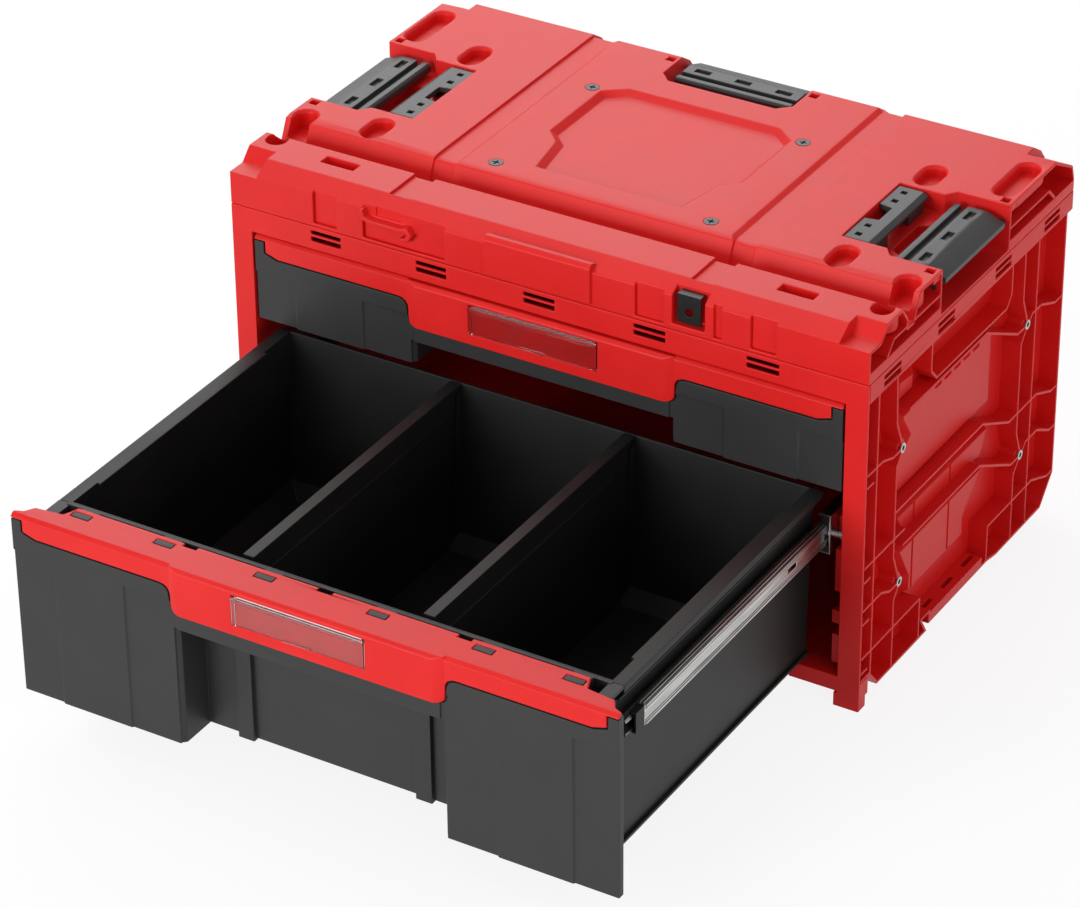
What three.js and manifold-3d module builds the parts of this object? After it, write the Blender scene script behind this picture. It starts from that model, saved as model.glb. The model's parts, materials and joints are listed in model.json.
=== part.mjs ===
// A stackable toolbox with two drawers on ball-bearing slides.
// Millimetres, +Z up, X to the right, the drawers open towards -Y.
// The lower drawer stands open at rest, the upper one is closed.

import * as THREE from 'three';
import { mergeVertices } from 'three/addons/utils/BufferGeometryUtils.js';
import Module from 'manifold-3d';

const wasm = await Module();
wasm.setup();

// Overall sizes
const caseWidth = 577;
const caseDepth = 358;
const seamHeight = 297;
const coverHeight = 42.4;
const upperHeight = 77.5;
const middleShare = 0.87;

// Clearances and cuts
const seat = 0.3;
const drawerGap = 2;
const fasciaGap = 3;
const overrun = 1;
const flatness = 0.01;

// Moulded walls
const wall = 2.6;
const ribWall = 2.4;
const roundSides = 16;

const halfWidth = caseWidth / 2;
const front = -caseDepth / 2;
const rear = caseDepth / 2;
const deckHeight = seamHeight + coverHeight;

// Front frame round the drawer opening
const frame = {
  post: 19.3, header: 21, sillTop: 28.2, sillBottom: 14, sillArch: 4, archShare: 0.84, flange: 16.8,
  footWidth: 22.5, footDepth: 12, cornerDepth: 16, cornerTop: 25.5, cornerBottom: 10,
  windowWidth: 28, windowTop: 3.4, windowLow: 4.2, windowLift: 7.2, windowStep: 6.4,
  windowPitchShare: 0.343,
};
const openingHalf = halfWidth - frame.post;
const openingTop = seamHeight - frame.header;
const frameBack = front + wall + frame.flange;

// Side walls with their outward ribs
const side = {
  skinInset: 17, plateauLift: 7, bandHeight: 17, bandDepth: 9,
  bottomFront: 9, bottomMiddle: 14, bottomLedge: 24, bottomRear: 11, rearInset: 9,
  ledgeFront: -58, ledgeRear: 38, rearStep: 47, chamferRun: 22, chamferRise: 24, cornerSlope: 15,
  ledgeSlope: 12,
  bossRadius: 7, boreRadius: 3, bushSink: 2.6, bushRadius: 4.6,
  slotLength: 18, slotWidth: 4, slotPitch: 37, fieldSlope: 3.5,
  grooveWidth: 2.6, grooveDepth: 1.6, notchLength: 11, notchHeight: 7,
  railBossWidth: 16, railBossHeight: 22, stepDepth: 6,
};
const skinOuter = halfWidth - side.skinInset;
const skinInner = skinOuter - wall;

// Back wall and floor
const back = { ribCount: 6, ribDepth: 7, railHeight: 12, railCount: 3 };
const base = { floorTop: 24, ribDrop: 8, footSize: 26, footInset: 6, ribCount: 5 };

// Top cover
const cover = {
  frontLip: 30, bevelRun: 16, railDrop: 2.4, railRear: 54, railBackRun: 9, railBackDrop: 12,
  valleyDepth: 22.4, valleyRun: 1, valleyWidth: 8, deckFrontRun: 10, deckFrontDrop: 12,
  deckLip: 1.4, deckLipRun: 6,
  deckRear: 23, rearSlopeRun: 14, rearSlopeDrop: 9, rearTop: 21,
  endDepth: 26, endLedge: 18, endLedgeDrop: 13.4, endRiser: 29, endDeckRear: 36.5, endRearDrop: 18,
  endRearRun: 4, webDrop: 21.4, bandRise: 10, webThickness: 2.6,
  channelInner: 127, channelWidth: 19, channelDepth: 2.4,
  slotWidth: 31, slotDepth: 11, slotInner: 191.5, slotFront: 33, slotSink: 9,
  squareDepth: 6,
};

// Oblong pockets of the deck: distances from the side face, places and straight lengths along the depth
const pocket = {
  width: 18, length: 15, depth: 9, mouth: 2.2, innerRun: 76.5, rearY: 72.5, frontY: -78.5,
  outerRun: 14.5, longY: 100.5, longLength: 42, cornerY: -96, cornerLength: 16, tipY: -131, tipLength: 2,
  cornerDepth: 16,
};
const coverBottom = seamHeight + seat;
const bayFloor = coverBottom + wall;
const railTop = deckHeight - cover.railDrop;
const webTop = deckHeight - cover.webDrop;
const bandTop = seamHeight + cover.bandRise;

// Recess of a side latch in the cover
const bay = {
  innerRun: 92, stepRun: 52.5, innerHalf: 49.5, outerHalf: 58.8, stepSlant: 7,
  squareSize: 7, squareInset: 4, squareGap: 3.2, floorDrop: 17.4, riserRun: 30.5,
  pocketRun: 61.5, pocketWidth: 25, pocketSlant: 12, pocketHalf: 22, pocketSpread: 8, pocketDepth: 8,
};
const innerFloor = deckHeight - bay.floorDrop;
const bayInner = halfWidth - bay.innerRun;
const bayStep = halfWidth - bay.stepRun;
const bayRiser = halfWidth - bay.riserRun;

// Recess of the rear latch
const rearBay = { half: 60.5, depth: 66, chamfer: 10.5, floorDrop: 27.4 };
const rearFloor = deckHeight - rearBay.floorDrop;

// Bare emblem field in the middle of the deck
const emblem = {
  rearHalf: 70, rearY: 84, chamferHalf: 89, chamferY: 69, sideY: -12,
  waistHalf: 75, waistY: -26, frontHalf: 67, frontY: -71, depth: 4.6, bevel: 6,
};

// Cover front: shallow fields, bare plate, cord eye and padlock tab
const face = {
  fieldDepth: 3.2, fieldTop: 33, fieldBottom: 3, outerField: 187, outerWidth: 22,
  innerField: 86, innerWidth: 76, plateHalf: 48, plateProud: 3.2, plateTop: 37,
  tabHouseHalf: 22, tabHouseX: 133,
  eyeX: -139, eyeWidth: 46, eyeMiddle: 22, eyeHeight: 20, eyeBar: 4.2, eyeProud: 7, eyeSlotWidth: 24,
  eyeSlotHeight: 8,
};
const tab = {
  width: 20.5, height: 25, thickness: 2.4, bottom: 8, holeRadius: 3.6, holeLift: 10,
  flange: 7, pocketSide: 4, pocketDepth: 10, sink: 1.4,
};

// Cover screws
const coverScrew = {
  x: 98, rearY: 71.5, frontY: -80.5, headRadius: 6, headHeight: 3.2, shank: 2.4, length: 18, boss: 5.6,
};
const wallScrew = { rim: 4.3, flange: 2.2, socket: 2.1, socketDepth: 3.4, shank: 2.6 };
const railScrew = { headRadius: 4.2, headHeight: 1.5, shank: 2.9, setback: 11 };

// Wing latches, and the snap-in plates beside them
const latch = {
  halfLength: 51.5, topDrop: 5.9, pinInset: 6.5, pinDrop: 16.4, barrel: 4.4, pinRadius: 2.2, pinReach: 3,
  width: 45, flatWidth: 15.5, lipWidth: 7, grooveWidth: 6, grooveDepth: 4, thickness: 4, lipDrop: 8,
  windowWidth: 6, windowLength: 14, windowPitch: 38, windowDepth: 2.8,
};
const plate = {
  halfLength: 47.3, width: 26, flat: 21.5, topDrop: 1.4, thickness: 5, notchDepth: 12, notchHalf: 13.5,
  notchSlant: 2.5,
  windowSize: 5, windowNear: 23, windowFar: 38.5, windowX: 8.5, legInset: 4, legWidth: 3.4,
};
const latchTop = deckHeight - latch.topDrop;
const pinHeight = deckHeight - latch.pinDrop;
const plateTop = deckHeight - plate.topDrop;
const rearLatch = { halfLength: 54, inset: 31, pinInset: 3, length: 40 };

// Drawer fronts
const fascia = {
  sheet: 3, pocketBack: 2.2, padRise: 1.5, padInset: 45, padMargin: 38.2, padSlope: 4.5,
  padTop: 33, clipDrop: 31,
  earInner: 120, bevel: 6, recess: 36, returnDepth: 8, stripDrop: 56,
  ribInner: 73, ribWidth: 14.5, ribProud: 4.5, panelLift: 1,
};
const trim = {
  sheet: 2.6, proud: 3.6, gap: 1.1, earDrop: 18, centreDrop: 41, tipDrop: 3.7, tipWidth: 10, tipSlope: 12,
  centreHalf: 121.3, proudRun: 9, shoulder: 10, foot: 7, depth: 32, shelfInset: 41, tabDepth: 16,
  tabInset: 12,
  endDepth: 5, clipWidth: 17, clipDepth: 7, clipSetback: 5, notchWidth: 12, notchDepth: 4, bevel: 2.8,
};
const clipShares = [0.187, 0.528, 0.814];
const holder = {
  width: 117, height: 25.5, drop: 5.5, offset: -4, sheet: 1.2, sink: 1, bar: 4.2, barProud: 2,
  windowInset: 3.4,
  clipWidth: 24, clipHeight: 2.2,
};

// Drawer tubs
const tub = {
  sideGap: 28.2, bottomGap: 7.8, topGap: 3.5, corner: 6, innerCorner: 12, rearGap: 5.5,
  rimHeight: 3, rimOut: 8.5, rimIn: 3, rimHook: 7, hookWall: 2, rimEndInset: 34,
  footProud: 3, footHeight: 3, ledgeProud: 4.5, ledgeHeight: 2, ledgeDrop: 13,
  guideDepth: 4, guideWall: 2, rearLeanShare: 0.046,
};
const divider = { x: 80, top: 10, flange: 3, web: 2.6, bead: 1.2, beadHeight: 2, beadDrop: 24 };

// Ball-bearing slides, three steel members each
const slide = {
  thickness: 12.7, height: 35, sheet: 1.2, frontGap: 5, rearGap: 16, centreDrop: 41.5,
  middleHeight: 18, middleSheet: 1, middleSetback: 3.4, middleReach: 6, innerHeight: 14.4, innerReach: 6.2,
  lip: 1.8, lipRun: 1.2, lipStart: 2.2, middleShort: 14, innerShort: 47, slotWidth: 4, slotLength: 14,
};
const slotShares = [0.1, 0.5, 0.85];
const middleSlotShare = 0.7;
const stop = { gap: 0.6, inner: 4, length: 24, bridgeStart: 13, bridgeLength: 5 };
const cap = { length: 12, step: 0.4, tongue: 10, tongueSheet: 0.7, tongueHeight: 9 };

const red = new THREE.MeshStandardMaterial({ color: 0xe0312f, roughness: 0.5, flatShading: true });
const grey = new THREE.MeshStandardMaterial({ color: 0x3e3e3e, roughness: 0.6, flatShading: true });
const black = new THREE.MeshStandardMaterial({ color: 0x181818, roughness: 0.6, flatShading: true });
const latchGrey = new THREE.MeshStandardMaterial({ color: 0x6e6e6e, roughness: 0.55, flatShading: true });
const steel = new THREE.MeshStandardMaterial(
  { color: 0xb9b9b9, roughness: 0.3, metalness: 1, flatShading: true },
);
const blackSteel = new THREE.MeshStandardMaterial(
  { color: 0x1f1f1f, roughness: 0.4, metalness: 0.6, flatShading: true },
);
const clear = new THREE.MeshStandardMaterial(
  { color: 0xf2f2f2, roughness: 0.1, transparent: true, opacity: 0.35, flatShading: true },
);

// Solids from three.js geometries
function solidOf(geometry) {
  const bare = geometry.index ? geometry.toNonIndexed() : geometry.clone();
  bare.deleteAttribute('normal');
  bare.deleteAttribute('uv');
  const merged = mergeVertices(bare, 1e-4);
  const mesh = new wasm.Mesh({
    numProp: 3,
    vertProperties: new Float32Array(merged.attributes.position.array),
    triVerts: new Uint32Array(merged.index.array),
  });
  return new wasm.Manifold(mesh);
}

function join(...solids) {
  return solids.flat().reduce((sum, solid) => sum.add(solid));
}

function cut(solid, ...tools) {
  return tools.flat().reduce((rest, tool) => rest.subtract(tool), solid);
}

function shapeOf(outline) {
  if (outline instanceof THREE.Shape) return outline;
  return new THREE.Shape(outline.map(([u, v]) => new THREE.Vector2(u, v)));
}

const axisBases = {
  x: new THREE.Matrix4().makeBasis(
    new THREE.Vector3(0, 1, 0),
    new THREE.Vector3(0, 0, 1),
    new THREE.Vector3(1, 0, 0),
  ),
  y: new THREE.Matrix4().makeBasis(
    new THREE.Vector3(1, 0, 0),
    new THREE.Vector3(0, 0, 1),
    new THREE.Vector3(0, -1, 0),
  ),
  z: new THREE.Matrix4(),
};

// Extrudes an outline along an axis: along x it is drawn in (y, z), along y in (x, z), along z in (x, y).
function extrude(axis, outline, [from, to], curveSegments = roundSides / 4) {
  const geometry = new THREE.ExtrudeGeometry(
    shapeOf(outline),
    { depth: to - from, bevelEnabled: false, curveSegments },
  );
  geometry.applyMatrix4(axisBases[axis]);
  if (axis === 'x') geometry.translate(from, 0, 0);
  if (axis === 'y') geometry.translate(0, to, 0);
  if (axis === 'z') geometry.translate(0, 0, from);
  return solidOf(geometry);
}

function block([x0, x1], [y0, y1], [z0, z1]) {
  const geometry = new THREE.BoxGeometry(x1 - x0, y1 - y0, z1 - z0);
  geometry.translate((x0 + x1) / 2, (y0 + y1) / 2, (z0 + z1) / 2);
  return solidOf(geometry);
}

// A round bar or bore along an axis, through the point given by its two other coordinates.
function bar(axis, radius, centre, [from, to], sides = roundSides) {
  const outline = new THREE.Shape().absarc(centre[0], centre[1], radius, 0, 2 * Math.PI);
  return extrude(axis, outline, [from, to], sides / 2);
}

// A turned piece: the profile is drawn in (radius, distance along x) and closes on the axis.
function turnedAlongX(profile, [x, y, z], sides = roundSides) {
  const geometry = new THREE.LatheGeometry(profile.map(([r, h]) => new THREE.Vector2(r, h)), sides);
  geometry.rotateZ(-Math.PI / 2);
  geometry.translate(x, y, z);
  return solidOf(geometry);
}

function turnedAlongZ(profile, [x, y, z], sides = roundSides) {
  const geometry = new THREE.LatheGeometry(profile.map(([r, h]) => new THREE.Vector2(r, h)), sides);
  geometry.rotateX(Math.PI / 2);
  geometry.translate(x, y, z);
  return solidOf(geometry);
}

// An oblong outline: a straight length along v between two round ends
function oblong(u, v, width, straight) {
  const shape = new THREE.Shape();
  shape.absarc(u, v + straight / 2, width / 2, 0, Math.PI);
  shape.absarc(u, v - straight / 2, width / 2, Math.PI, 2 * Math.PI);
  return shape;
}

// A sheet of even thickness along a path of points.
function sheetOutline(path, thickness) {
  const sides = [[], []];
  path.forEach((point, i) => {
    const before = path[Math.max(i - 1, 0)];
    const after = path[Math.min(i + 1, path.length - 1)];
    const into = new THREE.Vector2(point[0] - before[0], point[1] - before[1]).normalize();
    const out = new THREE.Vector2(after[0] - point[0], after[1] - point[1]).normalize();
    const along = into.clone().add(out).normalize();
    const known = into.lengthSq() > 0 ? into : out;
    const reach = thickness / 2 / along.dot(known);
    sides[0].push([point[0] - along.y * reach, point[1] + along.x * reach]);
    sides[1].push([point[0] + along.y * reach, point[1] - along.x * reach]);
  });
  return sides[0].concat(sides[1].reverse());
}

const sharpestCorner = 0.5;

// The same closed outline, moved inwards by an even distance
function inset(outline, distance) {
  const turn = Math.sign(THREE.ShapeUtils.area(outline.map(([u, v]) => new THREE.Vector2(u, v))));
  const count = outline.length;
  return outline.map((point, i) => {
    const before = outline[(i + count - 1) % count];
    const after = outline[(i + 1) % count];
    const into = new THREE.Vector2(point[0] - before[0], point[1] - before[1]).normalize();
    const out = new THREE.Vector2(after[0] - point[0], after[1] - point[1]).normalize();
    const normal = new THREE.Vector2(-into.y - out.y, into.x + out.x).normalize();
    const reach = turn * distance / Math.max(normal.x * -into.y + normal.y * into.x, sharpestCorner);
    return [point[0] + normal.x * reach, point[1] + normal.y * reach];
  });
}

function mirrored(points) {
  return points.concat(points.map(([u, v]) => [-u, v]).reverse());
}

function bothSides(make) {
  return [-1, 1].map(make);
}

function span(centre, size) {
  return [centre - size / 2, centre + size / 2];
}

function turned(range, sign) {
  return sign > 0 ? range : [-range[1], -range[0]];
}

const toolbox = new THREE.Group();
const shell = new THREE.Group();
const lowerDrawer = new THREE.Group();
const upperDrawer = new THREE.Group();
toolbox.add(shell, lowerDrawer, upperDrawer);

function addNode(group, name, solid, material) {
  const made = solid.asOriginal().simplify(flatness).getMesh();
  const geometry = new THREE.BufferGeometry();
  geometry.setAttribute('position', new THREE.BufferAttribute(made.vertProperties, 3));
  geometry.setIndex(new THREE.BufferAttribute(made.triVerts, 1));
  geometry.computeVertexNormals();
  const mesh = new THREE.Mesh(geometry, material);
  mesh.name = name;
  group.add(mesh);
  return mesh;
}

// The left piece of a pair is the right one mirrored.
function addPair(group, stem, solid, material) {
  addNode(group, stem + '_right', solid, material);
  const left = addNode(group, stem + '_left', solid, material);
  left.scale.x = -1;
}

// Front frame: a moulded ring, hollow from behind, with two front feet
function frontFrame() {
  const outer = [
    [-halfWidth, frame.sillBottom], [halfWidth, frame.sillBottom], [halfWidth, seamHeight],
    [-halfWidth, seamHeight],
  ];
  const opening = [
    [-openingHalf, frame.sillTop], [openingHalf, frame.sillTop], [openingHalf, openingTop],
    [-openingHalf, openingTop],
  ];
  const shape = shapeOf(outer);
  shape.holes.push(new THREE.Path(opening.map(([u, v]) => new THREE.Vector2(u, v))));
  const archHalf = openingHalf * frame.archShare;
  const arch = block(
    [-archHalf, archHalf],
    [front - overrun, front + wall + overrun],
    [frame.sillBottom - overrun, frame.sillBottom + frame.sillArch],
  );
  const plate = cut(extrude('y', shape, [front, front + wall]), frameWindows(), arch);
  const half = skinInner - seat;
  const flangeY = [front + wall / 2, frameBack];
  const flanges = [
    block([-half, half], flangeY, [openingTop, openingTop + wall]),
    block([-half, half], flangeY, [frame.sillTop - wall, frame.sillTop]),
  ];
  return join(plate, flanges, bothSides(frameCorner));
}

// Solid lower corner with the front foot under it
function frameCorner(s) {
  const foot = block(
    turned([halfWidth - frame.footWidth, halfWidth], s),
    [front, front + frame.footDepth],
    [0, frame.cornerBottom + wall],
  );
  const corner = block(
    turned([openingHalf, halfWidth], s),
    [front, front + frame.cornerDepth],
    [frame.cornerBottom, frame.cornerTop],
  );
  return join(foot, corner);
}

function frameWindows() {
  const low = openingTop + frame.windowLift;
  const pitch = halfWidth * frame.windowPitchShare;
  const y = [front - overrun, front + wall + overrun];
  return [-2, -1, 0, 1, 2].flatMap((i) => [
    block(span(i * pitch, frame.windowWidth), y, [low, low + frame.windowLow]),
    block(
      span(i * pitch, frame.windowWidth),
      y,
      [low + frame.windowStep, low + frame.windowStep + frame.windowTop],
    ),
  ]);
}

// Side wall
const wallFront = front + wall + seat;
const cornerRear = front + frame.cornerDepth + seat;
const wallRear = rear - side.rearInset;
const bandBottom = seamHeight - side.bandHeight;

// Rib lines as shares of half the depth and of the height of the wall, from its middle and its bottom
const ringPlaceShares = [[-0.648, 0.707], [-0.637, 0.29], [0.581, 0.705], [0.575, 0.293]];
const ribShares = [
  [[-0.894, 0.02], [-0.894, 0.944]],
  [[-0.726, 0.944], [-0.715, 0.8], [-0.648, 0.707]],
  [[-0.648, 0.707], [-0.704, 0.667], [-0.704, 0.387], [-0.637, 0.29]],
  [[-0.637, 0.29], [-0.687, 0.25], [-0.687, 0.02]],
  [[0.52, 0.944], [0.52, 0.798], [0.581, 0.705]],
  [[0.581, 0.705], [0.52, 0.663], [0.52, 0.38], [0.575, 0.293]],
  [[0.575, 0.293], [0.508, 0.252], [0.508, 0.02]],
  [[0.66, 0.944], [0.66, 0.02]],
  [[-1, 0.727], [-0.838, 0.727], [-0.743, 0.707], [-0.648, 0.707]],
  [[-1, 0.444], [-0.6, 0.444]],
  [[-1, 0.313], [-0.81, 0.313], [-0.726, 0.29], [-0.637, 0.29]],
  [[-1, 0.162], [-0.424, 0.162], [-0.424, 0.02]],
  [[-0.6, 0.808], [0.15, 0.808], [0.475, 0.707], [0.581, 0.705]],
  [[-0.7, 0.525], [0.15, 0.525], [0.43, 0.444], [0.715, 0.444], [0.877, 0.404], [1, 0.404]],
  [[-0.62, 0.397], [0.14, 0.397], [0.475, 0.293], [0.575, 0.293]],
  [[0.581, 0.705], [0.626, 0.727], [0.715, 0.727], [0.866, 0.69], [1, 0.69]],
  [[0.575, 0.293], [0.626, 0.32], [0.743, 0.32], [0.883, 0.276], [1, 0.276]],
  [[0.257, 0.02], [0.257, 0.165], [0.715, 0.165], [0.883, 0.125], [1, 0.125]],
  [[-1, 0.69], [-0.92, 0.69]],
  [[-1, 0.4], [-0.92, 0.4]],
  [[-1, 0.27], [-0.92, 0.27]],
  [[-1, 0.115], [-0.92, 0.115]],
];
const pocketShares = [
  [-0.4, 0.944], [-0.4, 0.86], [-0.345, 0.825], [0.345, 0.825], [0.39, 0.855], [0.39, 0.944],
];
const fieldShares = [
  [[-0.69, 0.53], [0.33, 0.53], [0.33, 0.7], [-0.45, 0.7], [-0.69, 0.6]],
  [[-0.44, 0.64], [0.33, 0.64], [0.33, 0.77], [-0.56, 0.77], [-0.56, 0.745]],
  [[-0.51, 0.375], [0.27, 0.375], [0.34, 0.463], [-0.6, 0.463]],
  [[-0.45, 0.225], [0.1, 0.225], [0.3, 0.345], [-0.56, 0.345]],
  [[-0.45, 0.17], [0.12, 0.17], [0.12, 0.3], [-0.45, 0.3]],
  [[-0.61, 0.815], [-0.45, 0.815], [-0.45, 0.875], [-0.61, 0.885]],
];
const grooveShares = [-0.405, -0.05];
const grooveSpanShares = [0.13, 0.463];
const notchPlaceShares = [-0.207, -0.115, -0.022, 0.07, 0.162];
const notchTopShare = 0.77;
const windowPlaceShares = [-0.776, -0.271, 0.288, 0.782];

function onWall([yShare, zShare]) {
  return [yShare * rear, zShare * seamHeight];
}

function wallOutline() {
  return [
    [wallFront, frame.cornerTop + seat],
    [cornerRear, frame.cornerTop + seat],
    [cornerRear + side.cornerSlope, side.bottomFront],
    [side.ledgeFront - wall, side.bottomFront],
    [side.ledgeFront - side.ledgeSlope, side.bottomLedge],
    [side.ledgeFront, side.bottomLedge],
    [side.ledgeFront, side.bottomMiddle],
    [side.rearStep, side.bottomMiddle],
    [side.rearStep + side.slotLength, side.bottomRear],
    [wallRear - side.chamferRun, side.bottomRear],
    [wallRear, side.bottomRear + side.chamferRise],
    [wallRear, seamHeight],
    [wallFront, seamHeight],
  ];
}

function sideWall() {
  const outline = wallOutline();
  const skin = extrude('x', outline, [skinInner, skinOuter]);
  const inside = extrude('x', outline, [skinInner, halfWidth]);
  const openFront = inset(outline, wall).map(([y, z]) =>
    [y < wallFront + wall * 2 ? wallFront - overrun : y, z]);
  const rim = cut(inside, extrude('x', openFront, [skinInner - overrun, halfWidth + overrun]));
  const ribs = ribShares.concat([pocketShares]).map((line) =>
    extrude('x', sheetOutline(line.map(onWall), ribWall), [skinInner, halfWidth]));
  const bosses = ringPlaceShares.map((place) =>
    bar('x', side.bossRadius, onWall(place), [skinInner, halfWidth - side.bushSink]));
  const ribbed = join(ribs, bosses).intersect(inside);
  const hollows = fieldShares.map((field) =>
    raisedField(field, wall, [skinInner - overrun, fieldTop - wall]));
  const plates = fieldShares.map((field) => raisedField(field, 0, [skinInner, fieldTop]).intersect(inside));
  let made = cut(join(skin, rim, plates), hollows, fieldGrooves(), fieldNotches());
  made = join(made, ribbed, sideBand(), sideLedge());
  made = cut(
    made,
    ringPlaceShares.map((place) =>
      bar('x', side.boreRadius, onWall(place), [skinInner - overrun, halfWidth + overrun])),
  );
  made = cut(
    made,
    ringPlaceShares.map((place) =>
      bar('x', side.bushRadius, onWall(place), [halfWidth - side.bushSink, halfWidth + overrun])),
  );
  made = join(made, railBosses(), innerSteps());
  return cut(made, bandWindows(), ledgeSlots(), railBossBores());
}

// A field stands out from the skin with slanted borders, and the skin is open behind it.
const fieldTop = skinOuter + side.plateauLift;

function raisedField(field, shrink, [from, to]) {
  const outline = field.map(onWall);
  const wide = inset(outline, shrink);
  const narrow = inset(outline, shrink + side.fieldSlope);
  return wasm.Manifold.hull([
    ...wide.flatMap(([y, z]) => [[from, y, z], [skinOuter, y, z]]),
    ...narrow.map(([y, z]) => [to, y, z]),
  ]);
}

function fieldGrooves() {
  const z = grooveSpanShares.map((share) => share * seamHeight);
  return grooveShares.map((share) =>
    block([fieldTop - side.grooveDepth, fieldTop + overrun], span(share * rear, side.grooveWidth), z));
}

// Short notches along the top of the largest field
function fieldNotches() {
  const top = notchTopShare * seamHeight;
  return notchPlaceShares.map((share) =>
    block(
      [fieldTop - side.grooveDepth, fieldTop + overrun],
      span(share * rear, side.notchLength),
      [top - side.notchHeight, top],
    ));
}

function sideBand() {
  const shelf = block([skinInner, halfWidth], [wallFront, rear], [bandBottom, bandBottom + wall]);
  const outer = block([halfWidth - wall, halfWidth], [wallFront, rear], [bandBottom, seamHeight]);
  const end = block([skinInner, halfWidth], [rear - wall, rear], [bandBottom, seamHeight]);
  return join(shelf, outer, end);
}

function bandWindows() {
  const low = openingTop + frame.windowLift;
  const x = [halfWidth - wall - overrun, halfWidth + overrun];
  return windowPlaceShares.flatMap((share) => [
    block(x, span(share * rear, frame.windowWidth), [low, low + frame.windowLow]),
    block(
      x,
      span(share * rear, frame.windowWidth),
      [low + frame.windowStep, low + frame.windowStep + frame.windowTop],
    ),
  ]);
}

function sideLedge() {
  return block(
    [skinInner, halfWidth],
    [side.ledgeFront, side.ledgeRear],
    [side.bottomMiddle, side.bottomLedge],
  );
}

function ledgeSlots() {
  const middle = (side.ledgeFront + side.ledgeRear) / 2;
  const x = span((skinOuter + halfWidth) / 2, side.slotWidth);
  return [-1, 0, 1].map((i) =>
    block(
      x,
      span(middle + i * side.slotPitch, side.slotLength),
      [side.bottomMiddle + wall, side.bottomLedge + overrun],
    ));
}

// Places of the slides
const drawerSide = openingHalf - tub.sideGap;
const slideInner = drawerSide + tub.footProud + seat;
const slideOuter = slideInner + slide.thickness;
const slideFront = front + slide.frontGap;
const slideRear = rear - slide.rearGap;
const slideLength = slideRear - slideFront;
const drawerTravel = slideLength;
const upperTop = openingTop - drawerGap;
const lowerTop = upperTop - upperHeight - fasciaGap;
const lowerHeight = lowerTop - frame.sillTop - drawerGap;
const slideHeights = { lower: lowerTop - slide.centreDrop, upper: upperTop - slide.centreDrop };
const railBossPlaces = [wallFront + side.railBossWidth * 1.5, slideRear - side.railBossWidth];

function railBosses() {
  return Object.values(slideHeights).flatMap((z) =>
    railBossPlaces.map((y) =>
      block(
        [slideOuter + seat, skinInner + wall / 2],
        span(y, side.railBossWidth),
        span(z, side.railBossHeight),
      )));
}

function railBossBores() {
  return Object.values(slideHeights).flatMap((z) =>
    [railScrewY, ...railBossPlaces].map((y) =>
      bar('x', railScrew.shank + seat, [y, z], [slideOuter - overrun, halfWidth - wall])));
}

// Steps on the inner face, just behind the closed drawer fronts
const stepShares = [[0.335, 0.465, 0.4], [0.235, 0.275, 0.1], [0.11, 0.2, 0.2]];

function innerSteps() {
  const stepFront = front + fascia.returnDepth + drawerGap;
  return stepShares.map(([low, high, insetShare]) => block(
    [slideOuter + seat + insetShare * side.stepDepth, skinInner + wall / 2],
    [stepFront, stepFront + side.stepDepth],
    [low * seamHeight, high * seamHeight],
  ));
}

const railScrewY = front + railScrew.setback;

// Back wall with upright and level ribs
function backWall() {
  const half = skinInner - seat;
  const outside = wallRear + ribWall;
  const skin = block([-half, half], [wallRear - wall, wallRear], [base.floorTop, seamHeight]);
  const top = block([-half, half], [wallRear - wall, rear], [seamHeight - side.bandHeight, seamHeight]);
  const topHollow = block(
    [-half - overrun, half + overrun],
    [wallRear, rear - wall],
    [seamHeight - side.bandHeight + wall, seamHeight + overrun],
  );
  const uprights = [...Array(back.ribCount + 1).keys()].map((i) =>
    block(
      span((half - ribWall) * (2 * i / back.ribCount - 1), ribWall),
      [wallRear - wall, outside + back.ribDepth - ribWall],
      [base.floorTop, seamHeight - side.bandHeight],
    ));
  const rise = seamHeight - side.bandHeight - base.floorTop - back.railHeight;
  const levels = [...Array(back.railCount).keys()].map((i) =>
    block(
      [-half, half],
      [wallRear - wall, outside + back.ribDepth - ribWall],
      span(base.floorTop + back.railHeight / 2 + rise * i / back.railCount, ribWall),
    ));
  const trimmed = join(uprights, levels).intersect(
    block([-half, half], [wallRear - wall, rear], [0, seamHeight]),
  );
  return join(skin, cut(top, topHollow), trimmed);
}

// Floor with ribs underneath and the two rear feet
function basePanel() {
  const half = skinInner - seat;
  const y = [frameBack + seat, wallRear];
  const top = base.floorTop - seat;
  const sheet = block([-half, half], y, [top - wall, top]);
  const ribs = [...Array(base.ribCount).keys()].map((i) =>
    block(
      span(half * (2 * (i + 1) / (base.ribCount + 1) - 1), ribWall),
      y,
      [top - wall - base.ribDrop, top],
    ));
  const cross = [y[0] + ribWall / 2, (y[0] + y[1]) / 2, y[1] - ribWall / 2].map((place) =>
    block([-half, half], span(place, ribWall), [top - wall - base.ribDrop, top]));
  const feet = bothSides((s) => rearFoot(s, half, top));
  return join(sheet, ribs, cross, feet);
}

function rearFoot(s, half, top) {
  const x = turned([half - base.footInset - base.footSize, half - base.footInset], s);
  const y = [wallRear - base.footInset - base.footSize, wallRear - base.footInset];
  const hollow = block(
    [x[0] + wall, x[1] - wall],
    [y[0] + wall, y[1] - wall],
    [wall, top - wall - overrun],
  );
  const mouth = block(
    [x[0] + wall, x[1] - wall],
    [y[0] - overrun, y[0] + wall + overrun],
    [wall * 2, top - wall - base.ribDrop],
  );
  return cut(block(x, y, [0, top]), hollow, mouth);
}

// Cover
const endX = halfWidth - cover.endDepth;
const railFront = front + cover.bevelRun;
const railRear = front + cover.railRear + cover.railBackRun;
const valleyFront = railRear + cover.valleyRun;
const valleyRear = valleyFront + cover.valleyWidth;

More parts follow.
